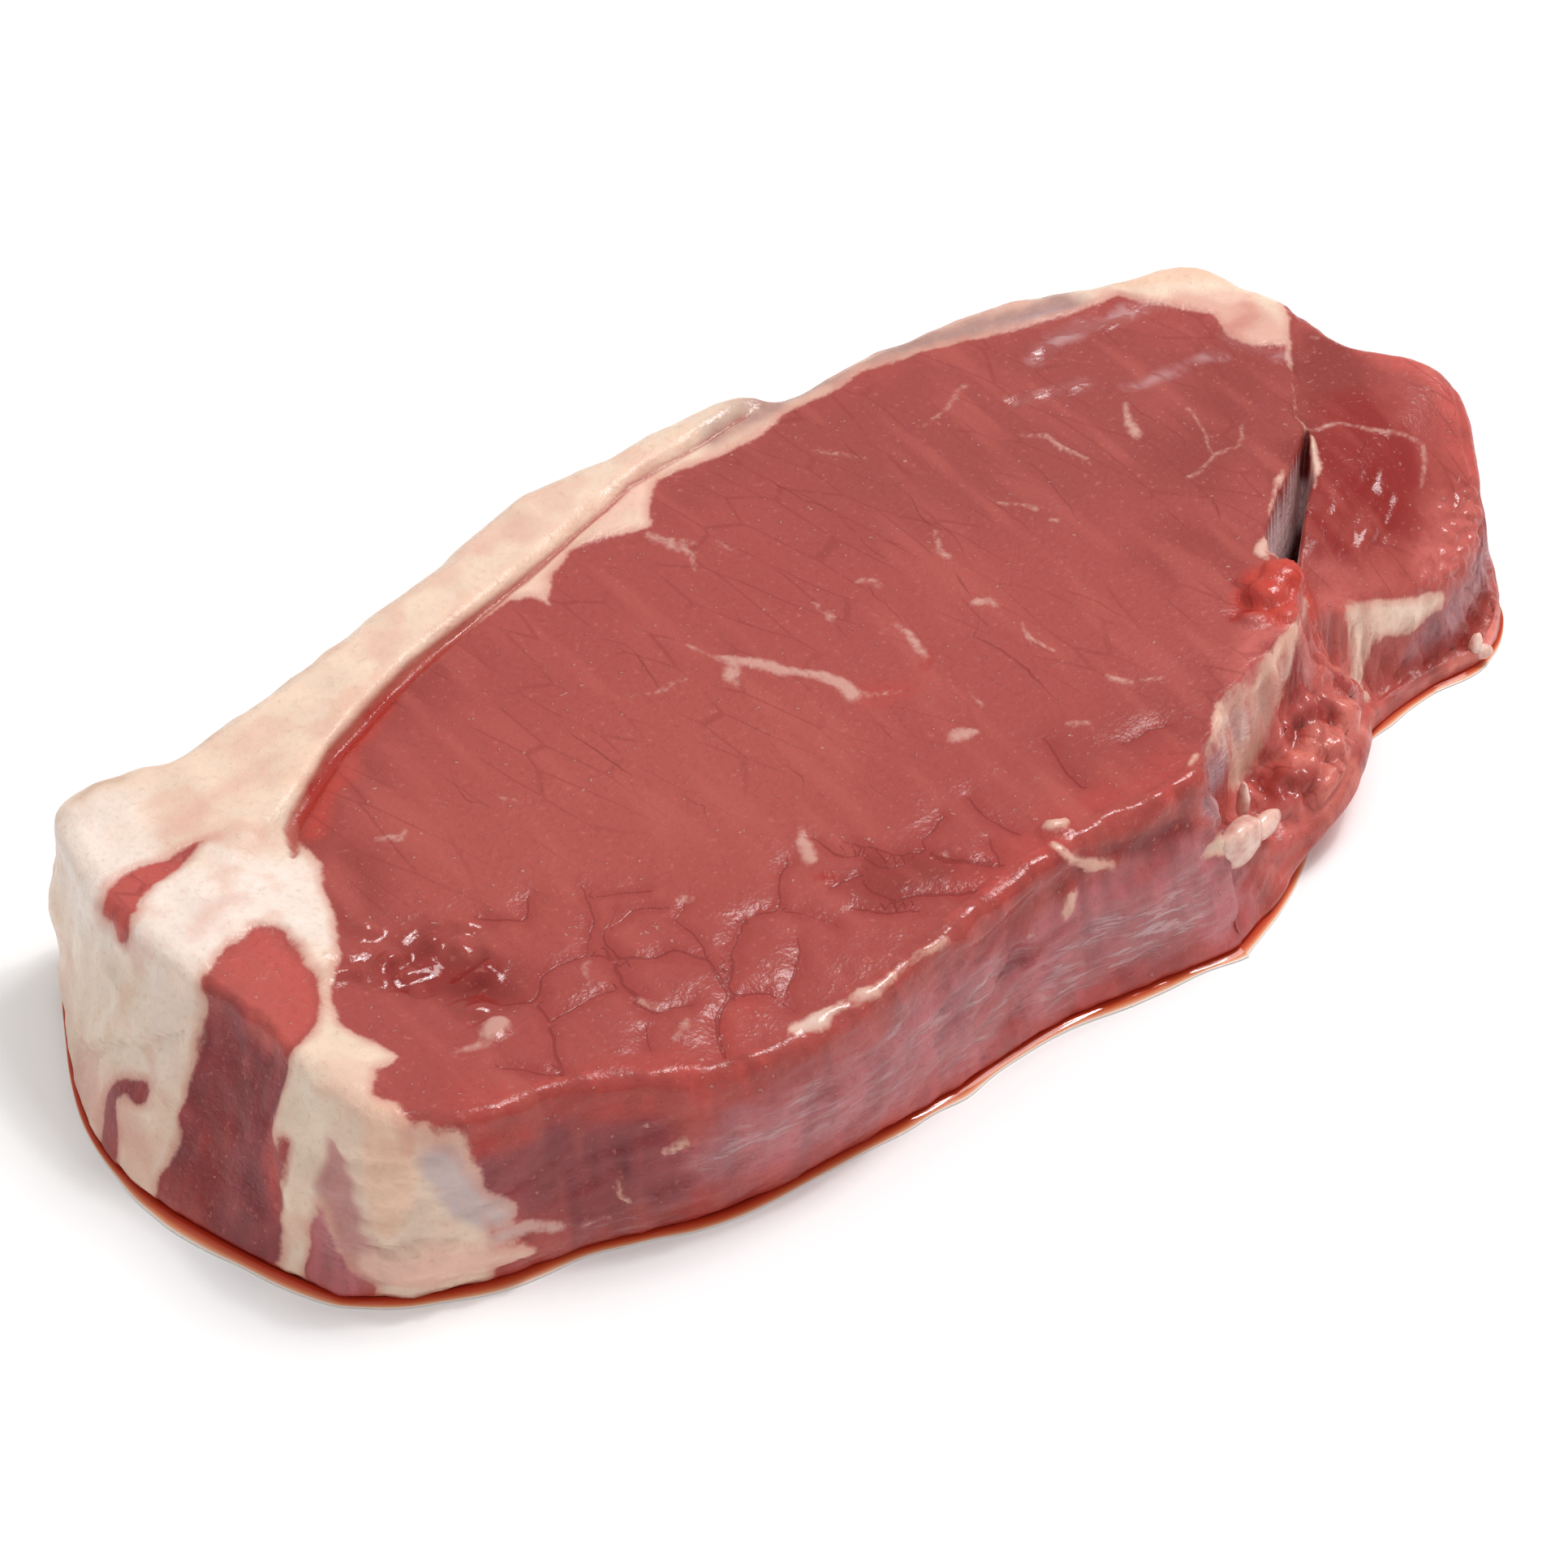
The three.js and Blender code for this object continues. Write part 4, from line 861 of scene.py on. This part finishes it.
fat_colour = painted("fat", [
    ("white fat", 0.9, 9, [[(-74, 4, 4), (-73, -4, 2), (-84, 3, 5)], [(-86, 22, 25, 3), (-92, 4, 20, 6)]]),
    ("warm fat", 0.6, 2.4, [[(-62, 16.6, 0.6), (-50, 24, 0.6), (-30, 31.6, 0.6), (-6, 39.6, 0.6),
                             (10, 43.4, 0.4)]]),
    ("pink fat", 0.5, 3, [
        [(-78, 18, 0.6), (-70, 19.6, 0.8), (-62, 21, 0.4)], [(-44, 31, 0.4), (-40, 33, 0.6)],
        [(-22, 40, 0.6), (-16, 41.6, 0.4)], [(-84, 2, 0.4), (-78, 4, 0.4)],
        [(-76, 14, 0.3), (-68, 12, 0.3)]]),
    ("tan", 0.6, 1.6, [[(-84, 28.6, 0.4), (-79, 29.6, 0.5)], [(-57, 33.6, 0.4), (-51, 35, 0.6)],
                       [(-70, 30.2, 0.3), (-66, 31, 0.4)]]),
    ("blushed fat", 0.8, 3, [[(-19, 30.6, 1), (-16, 33, 1)], [(-5, 36.6, 1.6), (2, 39.6, 1)]]),
    ("grey fat", 1, 3, [[(14, 42.4, 0.6), (30, 44.4, 1.2), (46, 44.4, 1.8), (58, 41.4, 2), (66, 40, 1.4)]]),
    ("lilac", 0.6, 2, [[(56, 39.4, 0.6), (66, 38, 0.8), (72, 36.4, 0.8)],
                       [(84, 17.4, 0.8), (80.4, 12, 0.8), (76.4, 6, 0.6)]]),
    ("pink fat", 0.7, 2, [[(24, 46, 0.4), (44, 47.2, 0.6), (62, 44, 1)],
                          [(66, 36.4, 1), (71, 37.4, 1.6), (76, 30, 1), (78, 25, 2), (83, 20, 1)]]),
    ("warm fat", 0.9, 2, [[(77, 38.6, 1.6), (82, 36.6, 2), (86, 33, 1)]]),
    ("pink fat", 0.9, 2.5, [[(78, 31, 1.4), (81, 26, 3), (83, 21, 2)]]),
    ("rose", 0.5, 2, [[(79.4, 22, 0.8), (84, 26, 0.8)]]),
    ("blushed fat", 0.7, 1.4, [[(77.4, 25, 0.3), (79, 28, 0.5)], [(83, 30, 0.4), (86, 27.4, 0.5)]]),
    # walls of the tail end, yellower and then pinker downwards
    ("yellow fat", 0.9, 5, [[(-96, 14, 12, 6), (-94, 3, 17, 4)], [(-86, -25, 22, 3)]]),
    ("pink fat", 0.8, 4, [[(-98.6, 8, 3, 3.6), (-98, 3, 5, 2), (-97.4, -5, 6, 1.4)]]),
    ("yellow fat", 0.9, 2, [[(-85.6, -25, 21, 2.6), (-88.4, -25.6, 16.6, 1.6)]]),
    ("mauve", 0.75, 1.2, [upper_membrane]), ("silver", 0.95, 0.9, lower_membranes),
    ("warm fat", 1, 0.5, [tendon]), ("blushed fat", 1, 1.2, [torn_flap]),
    ("yellow fat", 0.7, 1, [tail_thread]), ("white fat", 0.8, 1, [pale_ridge]),
    ("blushed fat", 0.8, 1, lip_threads),
    ("white fat", 0.9, 1.5, side_fat), ("warm fat", 0.6, 1.5, side_fat),
    ("pink fat", 0.8, 2, [[(36, -32.6, 17, 3), (42, -30, 17, 3), (50, -26, 19, 2)]]),
    ("lilac", 0.9, 2, [[(28, -40, 18, 3), (32, -36.4, 18, 3)]]), ("warm fat", 0.9, 0.8, [cliff_rim]),
    ("white fat", 0.8, 0.8, cleft_lips),
])
# strands that run down the cliff over the shelf, and fibres down the walls
for hue, share_of_strand, seed in (("lilac", 0.6, 8.4), ("rose", 0.75, 1.4), ("white fat", 0.6, 4.6)):
    strand = share_of_strand * cliff * smooth(noise(points, (1.5, 1.5, 10), 2, seed), 0.0, 0.4)
    fat_colour += strand[:, None] * (linear(hues[hue]) - fat_colour)
lean_colour[:, :3] *= 1 + 0.24 * (fibre * on_wall * (1 - in_cleft))[:, None]
blotches = noise(points, 3.2, 3, 7.9) - 0.4 * np.abs(noise(points, (9, 5, 5), 2, 3.5))
fat_colour[:, :3] *= 1 + 0.05 * blotches[:, None]
# long cells across the face for the bundles of fibre
bundle_width, bundle_length, bundle_lean = 4.4, 15, 0.24
bundle_place = np.column_stack([x / bundle_width + bundle_lean * y / bundle_width, y / bundle_length, 0 * x])
bundle_place += 0.22 * np.column_stack([noise(points, 16, 2, 3.3), noise(points, 16, 2, 17.3), 0 * x])


def smooth_mesh(name, points, faces):
    """Smooth-shaded mesh of points given in millimetres."""
    mesh = bpy.data.meshes.new(name)
    mesh.from_pydata((points * 0.001).tolist(), [], faces)
    mesh.polygons.foreach_set("use_smooth", np.ones(len(mesh.polygons), bool))
    return mesh


def store(mesh, name, values, kind="FLOAT", field="value"):
    """Keeps one number, colour or place for each point of a mesh, for its material."""
    data = mesh.attributes.new(name, kind, "POINT").data
    data.foreach_set(field, np.asarray(values, np.float32).ravel())


def placed(name, data):
    """Object of a mesh, lamp or camera, in the scene."""
    made = bpy.data.objects.new(name, data)
    bpy.context.collection.objects.link(made)
    return made


mesh = smooth_mesh("steak_slice", points, quads.tolist() + stitches.tolist())
numbers = {
    "fat": fat, "fleck": fleck, "skin_and_highlight": skin_and_highlight, "wet": wet, "blood": blood,
    "seam": np.clip(seam, -4, 4), "seam_half": seam_half, "near_seam": near_seam,
    "bundles": (1 - 0.85 * in_front) * lean * on_top * smooth(noise(points, 7, 2, 5.3), -0.5, 0.3),
    # "dark" is painted shade: near black down in the cleft, below about 12 mm
    "dark": in_cleft * smooth(12 - z, -2, 3) * smooth(-side_distance(x, y, cleft_line), -0.5, 0.2),
    "mottle": 0.5 + 0.5 * noise(points, 4.5, 3, 6.3),
    "long_mottle": 0.5 + 0.5 * noise(points, (2.4, 13, 8), 2, 4.9),
}
for name, values in numbers.items():
    store(mesh, name, values)
store(mesh, "lean_colour", lean_colour, "FLOAT_COLOR", "color")
store(mesh, "fat_colour", fat_colour, "FLOAT_COLOR", "color")
store(mesh, "bundle_place", bundle_place, "FLOAT_VECTOR", "vector")
steak = placed("steak_slice", mesh)


def add(tree, kind, settings=None, inputs=None):
    """Adds a node, sets its properties, and sets or links its inputs by name or number."""
    made = tree.nodes.new(kind)
    for key, value in (settings or {}).items():
        setattr(made, key, value)
    for key, value in (inputs or {}).items():
        if isinstance(value, bpy.types.NodeSocket):
            tree.links.new(value, made.inputs[key])
        else:
            made.inputs[key].default_value = value
    return made


def new_material(name):
    """Material with an empty tree of nodes. Gives both."""
    made = bpy.data.materials.new(name)
    made.use_nodes = True
    made.node_tree.nodes.clear()
    return made, made.node_tree


def per_mm(size):
    """Scale of a texture whose pattern repeats after this many millimetres."""
    return 1000 / size


# Raw beef: damp red muscle with cream fat and grey silverskin. The knife leaves it satin, and the
# torn and wet places shine. The grain of the fibre ends is 0.3 mm in life and drawn at 0.9 mm.
meat, tree = new_material("raw_beef")
where = add(tree, "ShaderNodeTexCoord").outputs["Object"]
field = {name: add(tree, "ShaderNodeAttribute", {"attribute_name": name}).outputs["Fac"] for name in numbers}
tissue = {
    name: add(tree, "ShaderNodeAttribute", {"attribute_name": name})
    for name in ("lean_colour", "fat_colour", "bundle_place")
}
grain_size = 0.9
grain = add(tree, "ShaderNodeTexNoise", None, {
    "Vector": where, "Scale": per_mm(grain_size), "Detail": 2.0, "Roughness": 0.6}).outputs["Fac"]
along_film = add(tree, "ShaderNodeMapping", None, {
    "Vector": where, "Rotation": (0, math.radians(26), 0), "Scale": (0.16, 0.16, 1.0)}).outputs["Vector"]
streak = add(tree, "ShaderNodeTexNoise", None, {
    "Vector": along_film, "Scale": per_mm(grain_size), "Detail": 3.0, "Roughness": 0.65,
    "Distortion": 0.6}).outputs["Fac"]
bundle_edge = add(tree, "ShaderNodeTexVoronoi", {
    "voronoi_dimensions": "2D", "feature": "DISTANCE_TO_EDGE",
}, {"Vector": tissue["bundle_place"].outputs["Vector"], "Scale": 1.0}).outputs["Distance"]
ragged_fat = add(tree, "ShaderNodeMath", {"operation": "MULTIPLY_ADD"},
                 {0: grain, 1: 0.8, 2: field["fat"]}).outputs[0]
ragged_fleck = add(tree, "ShaderNodeMath", {"operation": "MULTIPLY_ADD"},
                   {0: grain, 1: 1.2, 2: field["fleck"]}).outputs[0]
off_seam = add(tree, "ShaderNodeMath", {"operation": "ABSOLUTE"}, {0: field["seam"]}).outputs[0]
in_seam = add(tree, "ShaderNodeMath", {"operation": "SUBTRACT"},
              {0: field["seam_half"], 1: off_seam}).outputs[0]

share = {}
for name, source, low, high, at_low, at_high in (
        ("fat", ragged_fat, 0.1, 0.75, 0, 1), ("fleck", ragged_fleck, 0.2, 1.2, 0, 0.78),
        ("fringe", field["fat"], 0.0, 1.6, 0.7, 0),
        ("dark grain", grain, 0.52, 0.8, 0, 0.55), ("pale grain", grain, 0.40, 0.22, 0, 0.6),
        ("speck", grain, 0.68, 0.76, 0, 0.5),
        ("bundle edge", bundle_edge, 0.01, 0.05, 0.4, 0), ("seam", in_seam, -0.12, 0.12, 0, 0.5),
        ("near seam", field["near_seam"], 0, 1, 0, 0.4),
        ("streak", streak, 0.46, 0.62, 0.16, 0.72), ("long mottle", field["long_mottle"], 0.5, 1.1, 0, 0.5),
        ("fat grain", grain, 0.45, 0.8, 0, 0.3), ("fat blush", field["mottle"], 0.5, 0.85, 0, 0.45),
        ("blood", field["blood"], 0, 1, 0, 0.85), ("dark", field["dark"], 0, 1, 0, 0.9)):
    share[name] = add(tree, "ShaderNodeMapRange", {"interpolation_type": "SMOOTHSTEP"}, {
        "Value": source, "From Min": low, "From Max": high, "To Min": at_low, "To Max": at_high}).outputs[0]
for name, first, second in (("bundle edge", share["bundle edge"], field["bundles"]),
                            ("streak", share["streak"], field["skin_and_highlight"])):
    share[name] = add(tree, "ShaderNodeMath", {"operation": "MULTIPLY"}, {0: first, 1: second}).outputs[0]

layers = {
    "lean_colour": (
        ("dark grain", "#8e2e2a"), ("pale grain", "#c06a60"), ("long mottle", "#b6574d"),
        ("near seam", "#962a26"), ("bundle edge", "#8a2a27"), ("seam", "#7a1b18"),
        ("speck", "#d09c90"), ("fleck", "#d2a093"),
    ),
    "fat_colour": (("fat grain", "#d0a790"), ("fat blush", "#dfae99"), ("fringe", "#cf8d7c")),
}
mixed = {}
for name, rows in layers.items():
    mixed[name] = tissue[name].outputs["Color"]
    for layer, hex_code in rows:
        mixed[name] = add(tree, "ShaderNodeMix", {"data_type": "RGBA"},
                          {0: share[layer], 6: mixed[name], 7: linear(hex_code)}).outputs[2]
colour = add(tree, "ShaderNodeMix", {"data_type": "RGBA"},
             {0: share["fat"], 6: mixed["lean_colour"], 7: mixed["fat_colour"]}).outputs[2]
# whitish streaks of silverskin, partly painted highlight on the face at the back right; blood; and "dark",
# painted shade down in the cleft
for layer, hex_code in (("streak", "#d0aaab"), ("blood", "#a3271b"), ("dark", "#3a0d0e")):
    colour = add(tree, "ShaderNodeMix", {"data_type": "RGBA"},
                 {0: share[layer], 6: colour, 7: linear(hex_code)}).outputs[2]

dry = add(tree, "ShaderNodeMapRange", None, {
    "Value": field["wet"], "To Min": 0.3, "To Max": 0.05}).outputs[0]
roughness = add(tree, "ShaderNodeMath", {"operation": "MULTIPLY_ADD"},
                {0: grain, 1: 0.12, 2: dry}).outputs[0]
relief_of_grain = add(tree, "ShaderNodeMath", {"operation": "MULTIPLY_ADD"},
                      {0: field["wet"], 1: -0.7, 2: 1.0}).outputs[0]
height = add(tree, "ShaderNodeMath", {"operation": "MULTIPLY"}, {0: grain, 1: relief_of_grain}).outputs[0]
for layer, rise in (("speck", 0.3), ("streak", 1.3), ("seam", -0.7)):
    height = add(tree, "ShaderNodeMath", {"operation": "MULTIPLY_ADD"},
                 {0: share[layer], 1: rise, 2: height}).outputs[0]
bump = add(tree, "ShaderNodeBump", None, {
    "Height": height, "Distance": 0.00018, "Strength": 1.0}).outputs["Normal"]
surface = add(tree, "ShaderNodeBsdfPrincipled", None, {
    "Base Color": colour, "Roughness": roughness, "Normal": bump, "IOR": 1.4,
    "Subsurface Weight": 0.15, "Subsurface Radius": (1.0, 0.35, 0.25), "Subsurface Scale": 0.0018,
}).outputs["BSDF"]
add(tree, "ShaderNodeOutputMaterial", None, {"Surface": surface})
steak.data.materials.append(meat)
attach(steak, "root")
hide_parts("steak")

# ----------------------------------------------------------------------------------------------
# Fat lobes. Soft fat that hangs in a cluster of curls at the foot of the torn shelf, where the
# skin of the eye muscle ends, and one pale curl on the flap. They are part of the meat.


def lobe(centre, half, turn, seed):
    """Closed lump: a ball of rings between two poles, stretched to its half sizes, turned about
    the vertical, and swollen along its own direction by noise. Gives its points and faces."""
    around, down = 40, 24
    u, v = np.meshgrid(np.arange(around) / around * 2 * math.pi, np.arange(1, down) / down * math.pi)
    ball = np.stack([np.sin(v) * np.cos(u), np.sin(v) * np.sin(u), np.cos(v)], axis=2).reshape(-1, 3)
    ball = np.concatenate([ball, [(0, 0, 1), (0, 0, -1)]])
    swell = 1 + 0.14 * noise(ball + seed, 1.1, 2) + 0.16 * creases(ball + seed, (0.9, 1.8, 1.4), 1, 4.1)
    shape = ball * swell[:, None] * half
    c, s = math.cos(math.radians(turn)), math.sin(math.radians(turn))
    x, y, z = shape.T
    shape = np.column_stack([x * c - y * s, x * s + y * c, z]) + centre
    ring = np.arange(around)
    after = np.roll(ring, -1)
    rows = np.arange(down - 2)[:, None] * around
    quads = np.stack([rows + ring, rows + around + ring, rows + around + after, rows + after], axis=2)
    quads = quads.reshape(-1, 4)
    top, bottom = around * (down - 1), around * (down - 1) + 1
    lowest = around * (down - 2)
    caps = [(top, a, b) for a, b in zip(ring, after)]
    caps += [(bottom, lowest + b, lowest + a) for a, b in zip(ring, after)]
    return shape, quads.tolist() + caps


# Soft fat: wet and half clear, so that it is cream on its humps and pink in its folds.
soft_fat, tree = new_material("soft_fat")
where = add(tree, "ShaderNodeTexCoord").outputs["Object"]
cloud = add(tree, "ShaderNodeTexNoise", None, {
    "Vector": where, "Scale": per_mm(2.2), "Detail": 3.0}).outputs["Fac"]
pink = add(tree, "ShaderNodeMapRange", None, {"Value": cloud, "From Min": 0.4, "From Max": 0.7}).outputs[0]
fat_paint = add(tree, "ShaderNodeMix", {"data_type": "RGBA"},
                {0: pink, 6: linear("#ecc9ba"), 7: linear("#cf9285")}).outputs[2]
bump = add(tree, "ShaderNodeBump", None, {"Height": cloud, "Distance": 0.0002}).outputs["Normal"]
surface = add(tree, "ShaderNodeBsdfPrincipled", None, {
    "Base Color": fat_paint, "Roughness": 0.16, "Normal": bump, "IOR": 1.45,
    "Subsurface Weight": 0.3, "Subsurface Radius": (1.0, 0.5, 0.35), "Subsurface Scale": 0.0015,
}).outputs["BSDF"]
add(tree, "ShaderNodeOutputMaterial", None, {"Surface": surface})

for name, rows in {
    "fat_lobes": [
        ((29.4, -43, 12.6), (3.7, 1.9, 3.1), 12, 1.3), ((35.2, -40.8, 10.8), (2.9, 1.3, 1.5), 24, 6.1),
        ((33.6, -38.4, 13.6), (0.8, 0.9, 2.7), -15, 8.9),
    ],
    "pale_curl": [((83.1, -23.2, 2.9), (1.3, 0.8, 1.9), 25, 12.1),
                  ((83.9, -23.8, 1.8), (1.2, 0.8, 1), -20, 13.7)],
}.items():
    shapes, faces, start = [], [], 0
    for row in rows:
        shape, its_faces = lobe(*row)
        shapes.append(shape)
        faces += [[start + i for i in face] for face in its_faces]
        start += len(shape)
    mesh = smooth_mesh(name, np.concatenate(shapes), faces)
    mesh.materials.append(soft_fat)
    piece = placed(name, mesh)
    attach(piece, "root")

# ----------------------------------------------------------------------------------------------
# Meat juice. It seeps from the cut and stands in a narrow, thin layer round the foot of the slice,
# held there by its own surface, dark where it is deep and orange where it thins out, with a painted
# highlight in cream-white along its outer edge.
foot_places = rim - slice_middle
drained_to = -0.57, -0.82  # the way the juice has run
least_reach, added_reach, least_climb, added_climb = 0.15, 0.95, 0.05, 0.35
front_share = smooth(outward @ drained_to, 0.1, 0.7) * smooth(-rim[:, 1], -14, 12)
ripple = noise(np.column_stack([rim, 0 * rim[:, 0]]), 9, 2, 3.7)
reach = (least_reach + added_reach * front_share) * (1 + 0.4 * ripple)
climb = least_climb + added_climb * front_share
# how far out from the foot, how high, and how thin, from under the slice to the edge of the film
profile = [
    (-foot - 0.3, 0, 0), (-0.35, 1, 0), (0.12, 0.55, 0.15), (0.4, 0.26, 0.4), (0.7, 0.1, 0.7),
    (0.94, 0.05, 0.95), (1, 0, 1),
]
loops = []
for out, rise, _ in profile:
    far = spread + np.where(np.asarray(out) > 0, out * reach, out)
    loops.append(np.column_stack([foot_places + outward * far[:, None], rise * climb]))
n = len(rim)
ring = np.arange(n)
faces = []
for k in range(len(profile)):
    a, b = k * n + ring, (k + 1) % len(profile) * n + ring
    faces.append(np.stack([a, np.roll(a, -1), np.roll(b, -1), b], axis=1))
mesh = smooth_mesh("meat_juice", np.concatenate(loops), np.concatenate(faces)[:, ::-1].tolist())
store(mesh, "thin", np.repeat([p[2] for p in profile], n))
juice = placed("meat_juice", mesh)

# Thin blood and water: a smooth wet sheen over a colour that pales to orange, with a painted
# highlight in cream-white at its very edge.
juice_stain_and_highlight, tree = new_material("meat_juice")
thin = add(tree, "ShaderNodeAttribute", {"attribute_name": "thin"}).outputs["Fac"]
juice_and_edge_highlight = linear("#b8361f")
# the last step, to cream-white at the very edge, is a painted highlight
for low, high, hex_code in ((0.05, 0.35, "#d2603a"), (0.35, 0.68, "#e8a27a"), (0.68, 0.95, "#f9eee4")):
    part = add(tree, "ShaderNodeMapRange", None, {
        "Value": thin, "From Min": low, "From Max": high}).outputs[0]
    juice_and_edge_highlight = add(tree, "ShaderNodeMix", {"data_type": "RGBA"},
                      {0: part, 6: juice_and_edge_highlight, 7: linear(hex_code)}).outputs[2]
surface = add(tree, "ShaderNodeBsdfPrincipled", None,
              {"Base Color": juice_and_edge_highlight, "Roughness": 0.06, "IOR": 1.34}).outputs["BSDF"]
add(tree, "ShaderNodeOutputMaterial", None, {"Surface": surface})
mesh.materials.append(juice_stain_and_highlight)
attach(juice, "root")

# ----------------------------------------------------------------------------------------------
# Table, light and camera. A white studio table under a soft lamp and a small bright one, with light
# from all round that is strongest overhead.
half, gap = 3, 0.0002  # metres: half the table's width, and how far it lies below the slice
table = bpy.data.meshes.new("table_top")
table.from_pydata([(-half, -half, -gap), (half, -half, -gap), (half, half, -gap), (-half, half, -gap)], [],
                  [(0, 1, 2, 3)])
table_top = placed("table_top", table)
white = bpy.data.materials.new("white_laminate")
white.use_nodes = True
inputs = white.node_tree.nodes["Principled BSDF"].inputs
inputs["Base Color"].default_value = linear("#ffffff")
inputs["Roughness"].default_value = 0.9
inputs["Specular IOR Level"].default_value = 0.1
table.materials.append(white)

world = bpy.data.worlds.new("studio")
world.use_nodes = True
sky = world.node_tree
way = add(sky, "ShaderNodeTexCoord").outputs["Generated"]
up = add(sky, "ShaderNodeSeparateXYZ", None, {0: way}).outputs["Z"]
bright = add(sky, "ShaderNodeMapRange", None, {
    "Value": up, "From Min": 0.0, "From Max": 1.0, "To Min": 0.34, "To Max": 0.86}).outputs[0]
sky.links.new(bright, sky.nodes["Background"].inputs["Strength"])
sky.nodes["Background"].inputs["Color"].default_value = (1, 1, 1, 1)
bpy.context.scene.world = world
bpy.context.scene.view_settings.view_transform = "Standard"

target = np.array([-0.0075, -0.003, 0.0115])  # what the camera and the lamps face, in metres
for name, place, size, power in (("key", (0.40, 0.0, 0.80), 0.32, 3.5),
                                 ("spark", (0.38, -0.04, 0.82), 0.06, 0.9)):
    lamp = bpy.data.lights.new(name, "AREA")
    lamp.size, lamp.energy = size, power
    lamp_object = placed(name, lamp)
    lamp_object.location = place
    away = np.array(place) - target
    tilt = math.atan2(math.hypot(away[0], away[1]), away[2])
    lamp_object.rotation_euler = (tilt, 0, math.atan2(away[0], -away[1]))

azimuth, elevation, distance = math.radians(-35), math.radians(42), 0.686
camera_data = bpy.data.cameras.new("camera")
camera_data.sensor_width = 36
camera_data.lens = 132.9
camera = placed("camera", camera_data)
camera.location = target + distance * np.array([
    math.sin(azimuth) * math.cos(elevation), -math.cos(azimuth) * math.cos(elevation), math.sin(elevation)])
camera.rotation_euler = (math.pi / 2 - elevation, 0, azimuth)
bpy.context.scene.camera = camera
